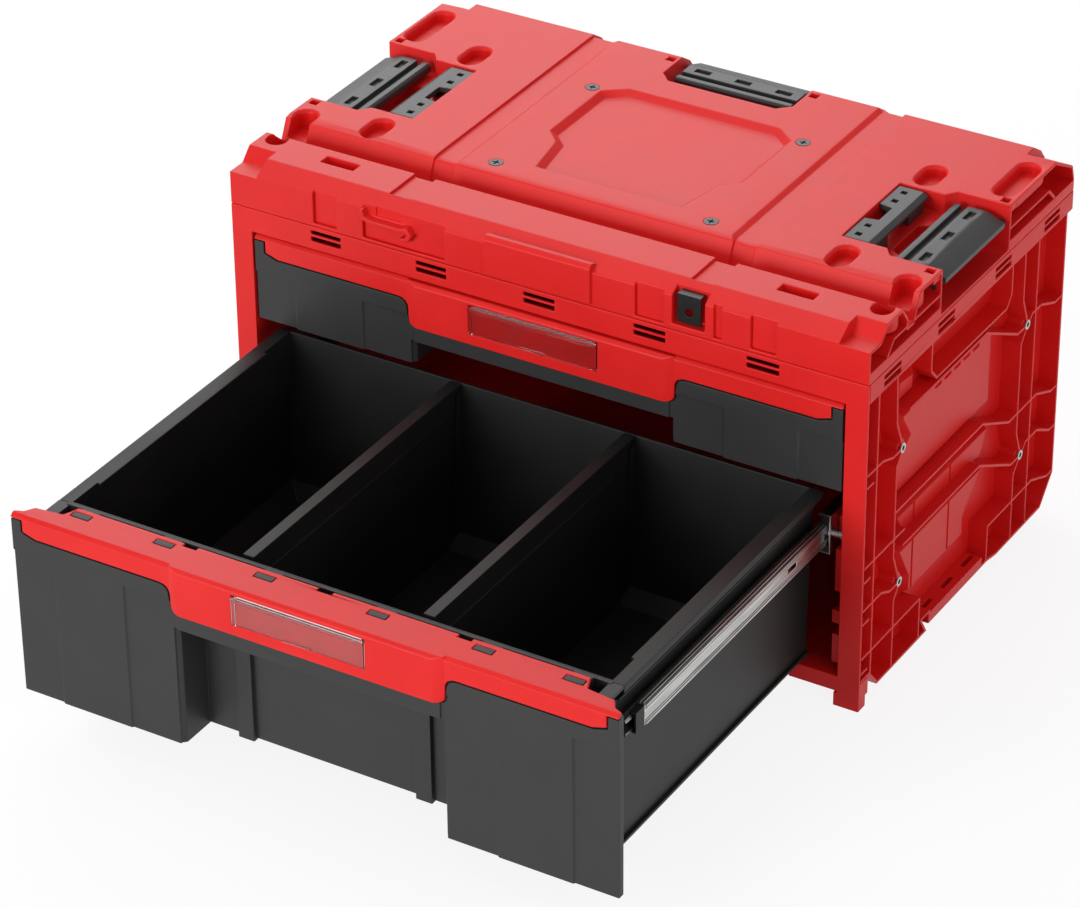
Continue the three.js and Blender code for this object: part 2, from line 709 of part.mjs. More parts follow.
function coverOuter() {
  const deckStart = valleyRear + cover.deckFrontRun;
  return [
    [front, coverBottom],
    [front, coverBottom + cover.frontLip],
    [railFront, railTop],
    [front + cover.railRear, railTop],
    [railRear, railTop - cover.railBackDrop],
    [valleyFront, deckHeight - cover.valleyDepth],
    [valleyRear, deckHeight - cover.valleyDepth],
    [deckStart - cover.deckFrontRun / 2, deckHeight - cover.deckFrontDrop],
    [deckStart, deckHeight - cover.deckLip],
    [deckStart + cover.deckLipRun, deckHeight],
    [rear - cover.deckRear, deckHeight],
    [rear - cover.deckRear + cover.rearSlopeRun, deckHeight - cover.rearSlopeDrop],
    [rear, coverBottom + cover.rearTop],
    [rear, coverBottom],
  ];
}

function coverEndOuter() {
  const points = coverOuter();
  const ledge = deckHeight - cover.endLedgeDrop;
  points.splice(1, 2,
    [front, ledge],
    [front + cover.endLedge, ledge],
    [front + cover.endRiser, railTop],
  );
  points.splice(-4, 3,
    [rear - cover.endDeckRear, deckHeight],
    [rear - cover.endRearRun, deckHeight - cover.endRearDrop],
    [rear, coverBottom + cover.rearTop / 2],
  );
  return points;
}

// The outline moved inwards, and open at the bottom
function insideOf(outline, depth) {
  const points = inset(outline, depth);
  points[0][1] = coverBottom - overrun;
  points[points.length - 1][1] = coverBottom - overrun;
  return points;
}

// The outermost layer of the cover, of even depth
function coverCrust(depth, [x0, x1]) {
  return cut(
    extrude('x', coverOuter(), [x0, x1]),
    extrude('x', insideOf(coverOuter(), depth), [x0 - overrun, x1 + overrun]),
  );
}

function coverShell() {
  const middle = cut(
    extrude('x', coverOuter(), [-endX, endX]),
    extrude('x', insideOf(coverOuter(), wall), [-endX + wall, endX - wall]),
  );
  const ends = bothSides((s) => coverEnd(s));
  return join(middle, ends);
}

function coverEnd(s) {
  const x = turned([endX - wall, halfWidth], s);
  const open = turned([endX, halfWidth + overrun], s);
  const inside = extrude('x', coverEndOuter(), x);
  const skin = cut(inside, extrude('x', insideOf(coverEndOuter(), wall), open));
  const band = block(x, [front, rear], [bandTop - wall, bandTop]);
  const bandFace = block(turned([halfWidth - wall, halfWidth], s), [front, rear], [coverBottom, bandTop]);
  const slope = webTop - bandTop;
  const webs = [
    [
      [front + wall * 2 + cover.railBackDrop * 2, bandTop],
      [front + wall * 2 + cover.railBackDrop * 2 + slope, webTop], [-bay.outerHalf, webTop],
    ],
    [
      [bay.outerHalf, webTop], [rear - cover.endDeckRear - slope, webTop],
      [rear - cover.endDeckRear, bandTop],
    ],
  ].map((path) => extrude('x', sheetOutline(path, cover.webThickness), x).intersect(inside));
  return join(skin, band, bandFace, webs);
}

// Recess for a side latch, with walls down to its floor
function bayOutline(grow) {
  const step = bayStep + bay.stepSlant;
  return [
    [bayInner - grow, -bay.innerHalf - grow], [bayStep - grow, -bay.innerHalf - grow],
    [step - grow, -bay.outerHalf - grow],
    [halfWidth + overrun, -bay.outerHalf - grow], [halfWidth + overrun, bay.outerHalf + grow],
    [step - grow, bay.outerHalf + grow], [bayStep - grow, bay.innerHalf + grow],
    [bayInner - grow, bay.innerHalf + grow],
  ];
}

function mirrorPoints(points, s) {
  return s > 0 ? points : points.map(([u, v]) => [-u, v]);
}

// The low floor runs from its riser, under the wing latch, to the outer face.
function lowFloorZone(s, grow) {
  return block(
    turned([bayRiser - grow, halfWidth + overrun], s),
    [-bay.outerHalf - grow, bay.outerHalf + grow],
    [bayFloor - grow, deckHeight + overrun],
  );
}

function fingerPocket(s, grow) {
  const half = bay.pocketHalf + grow;
  const spread = half + bay.pocketSpread;
  const near = halfWidth - bay.pocketRun - grow;
  const slant = near + bay.pocketSlant;
  const far = near + bay.pocketWidth + 2 * grow;
  const outline = [
    [near, -half], [slant, -spread], [far, -spread], [far, spread], [slant, spread], [near, half],
  ];
  return extrude(
    'z',
    mirrorPoints(outline, s),
    [innerFloor - bay.pocketDepth - grow, innerFloor + overrun],
  );
}

function bayWalls(s) {
  const high = extrude('z', mirrorPoints(bayOutline(wall), s), [innerFloor - wall, deckHeight]);
  return join(high, lowFloorZone(s, wall), fingerPocket(s, wall)).intersect(coverBox());
}

function bayCut(s) {
  const high = extrude('z', mirrorPoints(bayOutline(0), s), [innerFloor, deckHeight + overrun]);
  return join(high, lowFloorZone(s, 0), fingerPocket(s, 0));
}

function coverBox() {
  return block([-halfWidth, halfWidth], [front, rear], [coverBottom, deckHeight]);
}

function rearBayOutline(grow) {
  const inner = rear - rearBay.depth - grow;
  return mirrored([
    [rearBay.half + grow, rear + overrun], [rearBay.half + grow, inner + rearBay.chamfer],
    [rearBay.half + grow - rearBay.chamfer, inner],
  ]);
}

function emblemOutline() {
  return mirrored([
    [emblem.rearHalf, emblem.rearY], [emblem.chamferHalf, emblem.chamferY],
    [emblem.chamferHalf, emblem.sideY], [emblem.waistHalf, emblem.waistY],
    [emblem.frontHalf, emblem.frontY],
  ]);
}

// A sunken field with slanting walls: the tool that cuts it, or the larger and lower one for the sheet
// under it
function emblemTool(grow) {
  const geometry = new THREE.ExtrudeGeometry(shapeOf(inset(emblemOutline(), emblem.bevel - grow)), {
    depth: wall * 2, bevelEnabled: true, bevelThickness: emblem.depth, bevelSize: emblem.bevel,
    bevelSegments: 1,
  });
  geometry.translate(0, 0, deckHeight - grow);
  return solidOf(geometry);
}

// Two shallow channels run from the rail over the deck to the rear.
function channelZones(grow) {
  const x = [cover.channelInner - grow, cover.channelInner + cover.channelWidth + grow];
  const railZone = [railFront, railRear];
  const deckZone = [valleyRear, rear + overrun];
  const z = [coverBottom + cover.rearTop - grow, deckHeight + overrun];
  const depth = cover.channelDepth + grow;
  return bothSides((s) => {
    const crust = coverCrust(depth, turned(x, s));
    return [railZone, deckZone].map((y) => block(turned(x, s), y, z).intersect(crust));
  }).flat();
}

// Blind oblong pockets in the deck, and square ones beside the latches
const oblongPlaces = [
  { x: halfWidth - pocket.innerRun, y: pocket.rearY, length: pocket.length, depth: pocket.depth },
  { x: halfWidth - pocket.innerRun, y: pocket.frontY, length: pocket.length, depth: pocket.depth },
  { x: halfWidth - pocket.outerRun, y: pocket.longY, length: pocket.longLength, depth: pocket.depth },
  {
    x: halfWidth - pocket.outerRun, y: pocket.cornerY, length: pocket.cornerLength,
    depth: pocket.cornerDepth,
  },
  { x: halfWidth - pocket.outerRun, y: pocket.tipY, length: pocket.tipLength, depth: pocket.cornerDepth },
];
const squarePlaces = [
  {
    x: halfWidth - bay.squareInset - bay.squareSize / 2,
    y: -bay.outerHalf - bay.squareGap - bay.squareSize / 2,
  },
  {
    x: halfWidth - bay.squareInset - bay.squareSize / 2,
    y: bay.outerHalf + bay.squareGap + bay.squareSize / 2,
  },
  {
    x: rearBay.half + bay.squareGap + bay.squareSize / 2,
    y: rear - cover.deckRear - bay.squareInset - bay.squareSize / 2,
  },
];

// The pockets themselves, or with their walls and floors when grown
function deckPockets(grow) {
  const top = deckHeight + (grow ? 0 : overrun);
  const mouths = grow ? [] : bothSides((s) => oblongPlaces.map((place) => pocketMouth(s, place))).flat();
  return mouths.concat(bothSides((s) => [
    ...oblongPlaces.map(({ x, y, length, depth }) => {
      const outline = oblong(s * x, y, pocket.width + 2 * grow, length);
      return extrude('z', outline, [deckHeight - depth - grow, top]);
    }),
    ...squarePlaces.map(({ x, y }) =>
      block(
        span(s * x, bay.squareSize + 2 * grow),
        span(y, bay.squareSize + 2 * grow),
        [deckHeight - cover.squareDepth - grow, top],
      )),
  ]).flat());
}

// The chamfered mouth of an oblong pocket
function pocketMouth(s, { x, y, length }) {
  const wide = oblong(s * x, y, pocket.width + 2 * pocket.mouth, length);
  const narrow = oblong(s * x, y, pocket.width, length);
  return wasm.Manifold.hull([
    extrude('z', wide, [deckHeight, deckHeight + overrun]),
    extrude('z', narrow, [deckHeight - pocket.mouth, deckHeight]),
  ]);
}

function railSlots(grow, sink) {
  const x = [cover.slotInner - grow, cover.slotInner + cover.slotWidth + grow];
  const y = [front + cover.slotFront - grow, front + cover.slotFront + cover.slotDepth + grow];
  return bothSides((s) => block(turned(x, s), y, [railTop - sink, railTop + (grow ? 0 : overrun)]));
}

function faceFields() {
  const z = [coverBottom + face.fieldBottom, coverBottom + face.fieldTop];
  const y = [front - overrun, front + face.fieldDepth];
  return bothSides((s) => [
    block(turned([face.outerField, face.outerField + face.outerWidth], s), y, z),
    block(turned([face.innerField, face.innerField + face.innerWidth], s), y, z),
  ]).flat();
}

// Sheet behind the shallow fields of the cover front
function faceBacks() {
  const z = [coverBottom, coverBottom + cover.frontLip];
  const y = [front + face.fieldDepth, front + face.fieldDepth + wall];
  return bothSides((s) => [
    block(turned([face.outerField - wall, face.outerField + face.outerWidth + wall], s), y, z),
    block(turned([face.innerField - wall, face.innerField + face.innerWidth + wall], s), y, z),
  ]).flat();
}

function facePlate() {
  const z0 = coverBottom + face.fieldBottom;
  const z1 = coverBottom + face.plateTop;
  const profile = [
    [front - face.plateProud, z0], [front + wall, z0], [front + cover.bevelRun / 2, z1 - face.plateProud],
    [front + face.plateProud, z1], [front, z1], [front - face.plateProud, z1 - face.plateProud],
  ];
  return extrude('x', profile, [-face.plateHalf, face.plateHalf]);
}

const eyePathShares = [
  [-1, 0.75], [-0.88, 0.05], [-0.6, -0.2], [0.6, -0.2], [0.85, 0], [0.98, -0.4], [0.85, -0.9], [0.6, -1],
];

function cordEye() {
  const middle = coverBottom + face.eyeMiddle;
  const path = eyePathShares.map(([u, v]) =>
    [face.eyeX + u * face.eyeWidth / 2, middle + v * face.eyeHeight / 2]);
  const y = [front + face.fieldDepth - face.eyeProud, front + face.fieldDepth + wall / 2];
  return extrude('y', sheetOutline(path, face.eyeBar), y);
}

function eyeSlot() {
  const low = coverBottom + face.eyeMiddle + face.eyeBar / 2;
  return block(
    span(face.eyeX, face.eyeSlotWidth),
    [front - overrun, front + face.fieldDepth + wall / 2],
    [low, low + face.eyeSlotHeight],
  );
}

// Pocket of the padlock tab in the front edge of the rail
function tabHouse() {
  const x = span(face.tabHouseX, 2 * face.tabHouseHalf);
  const house = block(
    x,
    [front, front + tab.pocketDepth + wall],
    [coverBottom + face.fieldBottom, deckHeight],
  );
  return house.intersect(extrude('x', coverOuter(), x));
}

function tabPocket() {
  const x = span(face.tabHouseX, tab.width + 2 * tab.pocketSide);
  return block(
    x,
    [front - overrun, front + tab.pocketDepth],
    [coverBottom + face.fieldBottom + wall, railTop + overrun],
  );
}

function padlockTab() {
  const x = span(face.tabHouseX, tab.width);
  const y0 = front + tab.sink;
  const z0 = coverBottom + tab.bottom;
  const z1 = z0 + tab.height;
  const rearY = front + tab.pocketDepth - seat;
  const path = [
    [y0 + tab.thickness / 2, z0], [y0 + tab.thickness / 2, z1 - tab.thickness / 2],
    [rearY, z1 - tab.thickness / 2],
  ];
  return cut(
    extrude('x', sheetOutline(path, tab.thickness), x),
    bar(
      'y',
      tab.holeRadius,
      [face.tabHouseX, z0 + tab.holeLift],
      [y0 - overrun, y0 + tab.thickness + overrun],
    ),
  );
}

function screwPlaces() {
  return [
    [-coverScrew.x, coverScrew.frontY], [coverScrew.x, coverScrew.frontY],
    [-coverScrew.x, coverScrew.rearY], [coverScrew.x, coverScrew.rearY],
  ];
}

function screwBosses() {
  return screwPlaces().map((place) =>
    bar('z', coverScrew.boss, place, [deckHeight - coverScrew.length - wall, deckHeight - overrun]));
}

function screwBores() {
  return screwPlaces().flatMap((place) => [
    bar('z', coverScrew.shank + seat, place, [deckHeight - coverScrew.length - seat, deckHeight + overrun]),
    turnedAlongZ([
      [0, -coverScrew.headHeight - seat], [coverScrew.shank + seat, -coverScrew.headHeight - seat],
      [coverScrew.headRadius + seat, 0], [coverScrew.headRadius + seat, overrun], [0, overrun],
    ], [place[0], place[1], deckHeight]),
  ]);
}

const pinX = halfWidth - latch.pinInset;
const rearPinY = rear - rearLatch.pinInset - latch.pinInset;
const sidePinHalf = bay.outerHalf + latch.pinReach;
const rearPinHalf = rearBay.half + latch.pinReach;

function pinBores() {
  const radius = latch.pinRadius + seat;
  const bores = bothSides((s) =>
    bar('y', radius, [s * pinX, pinHeight], [-sidePinHalf - seat, sidePinHalf + seat]));
  return bores.concat(bar('x', radius, [rearPinY, pinHeight], [-rearPinHalf - seat, rearPinHalf + seat]));
}

// Cheeks of the rear recess that carry the rear pin
function rearCheeks() {
  return extrude('z', rearBayOutline(wall), [rearFloor - wall, deckHeight]);
}

function topCover() {
  const added = join(
    emblemTool(wall), channelZones(wall), deckPockets(wall), railSlots(wall, cover.slotSink + wall),
    bothSides(bayWalls), rearCheeks(),
  ).intersect(coverOutside());
  const whole = join(coverShell(), added, screwBosses(), faceBacks(), facePlate(), tabHouse());
  const bare = cut(
    whole, emblemTool(0), channelZones(0), deckPockets(0), railSlots(0, cover.slotSink), bothSides(bayCut),
    extrude('z', rearBayOutline(0), [rearFloor, deckHeight + overrun]),
    faceFields().map((field) => cut(field, tabHouse())), tabPocket(), screwBores(), eyeSlot(),
  );
  return cut(join(bare, cordEye()), pinBores());
}

// Everything inside the outer faces of the cover
function coverOutside() {
  const ends = bothSides((s) => extrude('x', coverEndOuter(), turned([endX, halfWidth], s)));
  return join(extrude('x', coverOuter(), [-endX, endX]), ends);
}

// Countersunk cross-head screw
function deckScrew(place) {
  const body = turnedAlongZ([
    [0, -coverScrew.length + seat], [coverScrew.shank, -coverScrew.length + seat],
    [coverScrew.shank, -coverScrew.headHeight],
    [coverScrew.headRadius, 0], [0, 0],
  ], [place[0], place[1], deckHeight]);
  const slotLength = coverScrew.headRadius;
  const slotWidth = coverScrew.shank / 2;
  const z = [deckHeight - coverScrew.headHeight / 2, deckHeight + overrun];
  return cut(body,
    block(span(place[0], slotLength), span(place[1], slotWidth), z),
    block(span(place[0], slotWidth), span(place[1], slotLength), z));
}

// Socket screw through a ring boss of the side wall
function socketScrew(place) {
  const seatX = halfWidth - side.bushSink + seat;
  return turnedAlongX([
    [0, skinInner], [wallScrew.shank, skinInner], [wallScrew.shank, seatX], [wallScrew.rim, seatX],
    [wallScrew.rim, seatX + wallScrew.flange], [wallScrew.socket, seatX + wallScrew.flange],
    [wallScrew.socket, seatX + wallScrew.flange - wallScrew.socketDepth],
    [0, seatX + wallScrew.flange - wallScrew.socketDepth],
  ], [0, ...onWall(place)]);
}

// Wing latch of one side: windows, groove, hooked inner lip and a barrel round its pin
function wingProfile(pin, s) {
  const tip = pin + s * latch.pinInset - s * overrun;
  const lip = tip - s * latch.width;
  const flat0 = lip + s * (latch.lipWidth + latch.grooveWidth);
  const flat1 = flat0 + s * latch.flatWidth;
  const under = latchTop - latch.thickness;
  return [
    [lip, latchTop - latch.lipDrop], [lip, latchTop - latch.thickness / 2],
    [lip + s * latch.thickness / 2, latchTop],
    [lip + s * latch.lipWidth, latchTop], [lip + s * latch.lipWidth, latchTop - latch.grooveDepth],
    [flat0, latchTop - latch.grooveDepth], [flat0, latchTop], [flat1, latchTop],
    [tip, pinHeight + latch.barrel], [tip, pinHeight],
    [pin - s * latch.barrel, pinHeight - latch.barrel / 2],
    [flat1, under - latch.thickness / 2], [flat1 - s * latch.thickness / 2, under],
    [flat0, under - latch.thickness / 2], [lip + s * latch.thickness, under - latch.thickness / 2],
    [lip + s * latch.thickness, latchTop - latch.lipDrop],
  ];
}

function wingWindowPlace(pin, s) {
  const tip = pin + s * latch.pinInset - s * overrun;
  return tip - s * latch.width + s * (latch.lipWidth + latch.grooveWidth + latch.flatWidth / 2);
}

function sideWing() {
  const windowX = span(wingWindowPlace(pinX, 1), latch.windowWidth);
  const z = [latchTop - latch.windowDepth, latchTop + overrun];
  const body = extrude('y', wingProfile(pinX, 1), [-latch.halfLength, latch.halfLength]);
  const windows = [-1, 0, 1].map((i) => block(windowX, span(i * latch.windowPitch, latch.windowLength), z));
  return join(
    cut(body, windows),
    bar('y', latch.pinRadius, [pinX, pinHeight], [-sidePinHalf, sidePinHalf]),
  );
}

function rearWing() {
  const half = rearLatch.halfLength;
  const windowY = span(wingWindowPlace(rearPinY, 1), latch.windowWidth);
  const z = [latchTop - latch.windowDepth, latchTop + overrun];
  const body = extrude('x', wingProfile(rearPinY, 1), [-half, half]);
  const windows = [-1, 0, 1].map((i) => block(span(i * latch.windowPitch, latch.windowLength), windowY, z));
  return join(
    cut(body, windows),
    bar('x', latch.pinRadius, [rearPinY, pinHeight], [-rearPinHalf, rearPinHalf]),
  );
}

// Snap-in plate on the inner side of a latch recess
function snapPlate() {
  const x0 = bayInner + seat;
  const x1 = x0 + plate.width;
  const z0 = plateTop - plate.thickness;
  const profile = [
    [x0, z0], [x0, plateTop], [x0 + plate.flat, plateTop], [x1, plateTop - plate.thickness / 2], [x1, z0],
  ];
  const body = extrude('y', profile, [-plate.halfLength, plate.halfLength]);
  const notch = extrude('z', [
    [x0 - overrun, -plate.notchHalf], [x0 - overrun, plate.notchHalf],
    [x0 + plate.notchDepth, plate.notchHalf - plate.notchSlant],
    [x0 + plate.notchDepth, -plate.notchHalf + plate.notchSlant],
  ], [z0 - overrun, plateTop + overrun]);
  const windows = [-plate.windowFar, -plate.windowNear, plate.windowNear, plate.windowFar].map((y) =>
    block(
      span(x0 + plate.windowX, plate.windowSize),
      span(y, plate.windowSize),
      [z0 - overrun, plateTop + overrun],
    ));
  const legY = [plate.notchHalf + plate.legInset, plate.halfLength - plate.legInset];
  const legs = bothSides((t) => [x0 + plate.legInset, x1 - plate.legInset].map((x) =>
    block(span(x, plate.legWidth), turned(legY, t), [innerFloor + seat, z0 + overrun]))).flat();
  return cut(join(body, legs), notch, windows);
}

// Drawer front, drawn with its top at zero height and its front face at y = 0
const fasciaHalf = openingHalf - drawerGap;

function trimOutline(grow) {
  const centre = trim.centreHalf + grow;
  const ear = -trim.earDrop - grow;
  const low = -trim.centreDrop - grow;
  const tip = fasciaHalf - trim.tipWidth + grow;
  const shape = new THREE.Shape();
  shape.moveTo(-fasciaHalf, grow);
  shape.lineTo(-fasciaHalf, -trim.tipDrop - grow);
  shape.lineTo(-tip, -trim.tipDrop - grow);
  shape.lineTo(-tip, ear + trim.tipDrop);
  shape.lineTo(-tip + trim.tipSlope, ear);
  shape.lineTo(-centre - trim.shoulder, ear);
  shape.quadraticCurveTo(-centre, ear, -centre, ear - trim.shoulder);
  shape.lineTo(-centre, low + trim.foot);
  shape.quadraticCurveTo(-centre, low, -centre + trim.foot, low);
  shape.lineTo(centre - trim.foot, low);
  shape.quadraticCurveTo(centre, low, centre, low + trim.foot);
  shape.lineTo(centre, ear - trim.shoulder);
  shape.quadraticCurveTo(centre, ear, centre + trim.shoulder, ear);
  shape.lineTo(tip - trim.tipSlope, ear);
  shape.lineTo(tip, ear + trim.tipDrop);
  shape.lineTo(tip, -trim.tipDrop - grow);
  shape.lineTo(fasciaHalf, -trim.tipDrop - grow);
  shape.lineTo(fasciaHalf, grow);
  return shape;
}

function proudPlan(grow) {
  const half = trim.centreHalf + grow;
  return [[-half, 0], [-half + trim.proudRun, -trim.proud], [half - trim.proudRun, -trim.proud], [half, 0]];
}

function clipPlaces() {
  return clipShares.flatMap((share) => [-share * fasciaHalf, share * fasciaHalf]);
}

function shelfPlan() {
  const shelf = fasciaHalf - trim.shelfInset;
  const points = mirrored([
    [shelf, trim.depth], [shelf + trim.endDepth, trim.tabDepth + trim.bevel],
    [fasciaHalf - trim.tabInset, trim.tabDepth],
    [fasciaHalf - trim.tabInset + trim.endDepth, trim.endDepth + trim.bevel], [fasciaHalf, trim.endDepth],
    [fasciaHalf, 0],
  ]);
  return points;
}

function redTrim() {
  const lip = extrude('y', trimOutline(0), [0, fascia.sheet]);
  const proud = extrude('z', proudPlan(0), [-trim.centreDrop, 0]).intersect(
    extrude('y', trimOutline(0), [-trim.proud - overrun, overrun]),
  );
  const shelf = extrude('z', shelfPlan(), [-trim.sheet, 0]);
  const y0 = trim.depth - trim.clipSetback - trim.clipDepth;
  const slots = clipPlaces().map((x) =>
    block(span(x, trim.clipWidth), [y0, y0 + trim.clipDepth], [-trim.sheet - overrun, overrun]));
  const notches = [-trim.centreHalf, 0, trim.centreHalf].map((x) =>
    block(
      span(x, trim.notchWidth),
      [trim.depth - trim.notchDepth, trim.depth + overrun],
      [-trim.sheet - overrun, overrun],
    ));
  const bevelCuts = [
    topBevel(-trim.proud, [-fasciaHalf, fasciaHalf]),
    ...bothSides((s) => topBevel(0, turned([trim.centreHalf, fasciaHalf], s))),
  ];
  const x = span(holder.offset, holder.width + 2 * seat);
  const bed = block(
    x,
    [-trim.proud - overrun, -trim.proud + holder.sink + seat],
    [-holder.drop - holder.height - seat, -holder.drop + seat],
  );
  return cut(join(lip, proud, shelf), slots, notches, bevelCuts, bed);
}

// Takes the sharp corner off the top of a face that lies at the given depth
function topBevel(y, x) {
  return extrude('x', [
    [y - overrun, overrun], [y - overrun, -trim.bevel], [y, -trim.bevel], [y + trim.bevel, 0],
    [y + trim.bevel + overrun, overrun],
  ], x);
}

function labelHolder() {
  const x = span(holder.offset, holder.width);
  const z = [-holder.drop - holder.height, -holder.drop];
  const back = -trim.proud + holder.sink;
  const sheet = block(x, [back - holder.sheet, back], z);
  const top = extrude('x', [
    [back, z[1] - holder.bar], [back, z[1]], [back - holder.sheet, z[1]],
    [back - holder.sheet - holder.barProud, z[1] - holder.barProud],
    [back - holder.sheet - holder.barProud, z[1] - holder.bar],
  ], x);
  const clip = block(
    span(holder.offset, holder.clipWidth),
    [back - holder.sheet - holder.barProud / 2, back],
    [z[0], z[0] + holder.clipHeight],
  );
  const sides = bothSides((s) =>
    block(
      span(holder.offset + s * (holder.width - holder.windowInset) / 2, holder.windowInset),
      [back - holder.sheet - holder.barProud / 2, back],
      z,
    ));
  return join(sheet, top, clip, sides);
}

function fasciaOutline(height) {
  return [
    [-fasciaHalf, -height], [-fascia.earInner, -height], [-fascia.earInner, -fascia.stripDrop],
    [fascia.earInner, -fascia.stripDrop],
    [fascia.earInner, -height], [fasciaHalf, -height], [fasciaHalf, -trim.tipDrop - seat],
    [-fasciaHalf, -trim.tipDrop - seat],
  ];
}

// Inner wall of an ear, with its bevelled front corner
function earWallPlan(s) {
  const x = fascia.earInner;
  const depth = fascia.recess + wall;
  return [
    [x + fascia.bevel / 2, 0], [x - fascia.bevel / 2, fascia.bevel], [x - fascia.bevel / 2, depth],
    [x - fascia.bevel / 2 + wall, depth], [x - fascia.bevel / 2 + wall, fascia.bevel + wall / 2],
    [x + fascia.bevel / 2 + wall, wall / 2], [x + fascia.bevel / 2 + wall, 0],
  ].map(([u, v]) => [s * u, v]);
}

function greyFascia(height) {
  const z = [-height, -trim.tipDrop - seat];
  const bodyOutline = extrude('y', fasciaOutline(height), [0, fascia.sheet]);
  const backing = extrude('y', trimOutline(trim.gap + wall), [0, fascia.sheet + seat + fascia.pocketBack])
    .intersect(extrude('y', fasciaOutline(height), [-overrun, fascia.recess]));
  const innerX = fascia.earInner - fascia.bevel / 2;
  const panel = block(
    [-innerX, innerX],
    [fascia.recess, fascia.recess + wall],
    [-height + fascia.panelLift, -trim.sheet - seat],
  );
  const ceiling = block(
    [-innerX, innerX],
    [0, fascia.recess + wall],
    [-fascia.stripDrop, -fascia.stripDrop + wall],
  );
  const ribs = bothSides((s) =>
    block(
      turned([fascia.ribInner, fascia.ribInner + fascia.ribWidth], s),
      [fascia.recess - fascia.ribProud, fascia.recess + overrun],
      [-height, -fascia.stripDrop + overrun],
    ));
  const ears = bothSides((s) => extrude('z', earWallPlan(s), [-height, -fascia.stripDrop + wall]));
  const returns = bothSides((s) => [
    block(turned([fasciaHalf - wall, fasciaHalf], s), [0, fascia.returnDepth], z),
    block(turned([fascia.earInner, fasciaHalf], s), [0, fascia.returnDepth], [-height, -height + wall]),
    block(
      turned([innerX, drawerSide - seat], s),
      [fascia.recess, fascia.recess + wall],
      [-height + tub.bottomGap, -trim.sheet - seat],
    ),
    block(
      turned([drawerSide - wall, drawerSide], s),
      [0, fascia.recess + wall],
      [-height + tub.bottomGap, -tub.topGap],
    ),
    block(
      turned([drawerSide - wall, drawerSide + tub.rimOut], s),
      [trim.endDepth, fascia.recess + wall],
      [-tub.topGap - tub.rimHeight, -tub.topGap],
    ),
  ]).flat();
  const y0 = trim.depth - trim.clipSetback - trim.clipDepth;
  const clips = clipPlaces().map((x) =>
    block(
      span(x, trim.clipWidth - 2 * seat),
      [y0 + seat, y0 + trim.clipDepth - seat],
      [-fascia.clipDrop, 0],
    ));
  const clipArms = clipPlaces().map((x) =>
    block(
      span(x, trim.clipWidth - 2 * seat),
      [y0 + seat, fascia.recess + overrun],
      [-fascia.clipDrop, -trim.sheet - seat],
    ));
  const shelfCut = block(
    [-fasciaHalf - overrun, fasciaHalf + overrun],
    [-overrun, trim.depth + seat],
    [-trim.sheet - seat, overrun],
  );
  const whole = join(bodyOutline, backing, panel, ceiling, ribs, ears, returns, clipArms);
  const trimBed = extrude('y', trimOutline(trim.gap), [-overrun, fascia.sheet + seat]);
  return join(cut(whole, shelfCut, trimBed, sunkZones(height)), clips);
}

// The zones on both sides of an ear's pad lie deeper, with a slope down from the pad.
function sunkZones(height) {
  const ends = [fascia.earInner - fascia.bevel / 2, fasciaHalf + overrun];
  const inner = fascia.earInner + fascia.padInset;
  const outer = fasciaHalf - fascia.padMargin;
  return bothSides((s) => [
    [[outer, 0], [outer + fascia.padSlope, fascia.padRise], [ends[1], fascia.padRise], [ends[1], -overrun]],
    [[inner, 0], [inner - fascia.padSlope, fascia.padRise], [ends[0], fascia.padRise], [ends[0], -overrun]],
  ].map((plan) => {
    const full = plan.concat([[plan[0][0], -overrun]]).map(([u, v]) => [s * u, v]);
    return extrude('z', full, [-height - overrun, -fascia.padTop]);
  })).flat();
}

// Tub, drawn in the same frame as its front
const tubFront = fascia.recess + wall + seat;
const tubRear = slideRear - front - tub.rearGap;

// Outer face of the rear wall, which leans back as it rises from the bottom of the tub
function rearAt(height, z) {
  return tubRear + tub.rearLeanShare * (z + height - tub.bottomGap);
}

function cavity(height, clearance) {
  const floor = -height + tub.bottomGap + wall + clearance;
  const half = drawerSide - wall - clearance;
  const top = overrun;
  const corner = floor + tub.innerCorner;
  const across = mirrored([[half, top], [half, corner], [half - tub.innerCorner, floor]]);
  const frontY = tubFront + wall + clearance;
  const inwards = wall + clearance;
  const along = [
    [frontY, top], [frontY, floor], [rearAt(height, corner) - inwards - tub.innerCorner, floor],
    [rearAt(height, corner) - inwards, corner], [rearAt(height, top) - inwards, top],
  ];
  return extrude('y', across, [tubFront, rearAt(height, top)]).intersect(
    extrude('x', along, [-drawerSide, drawerSide]),
  );
}

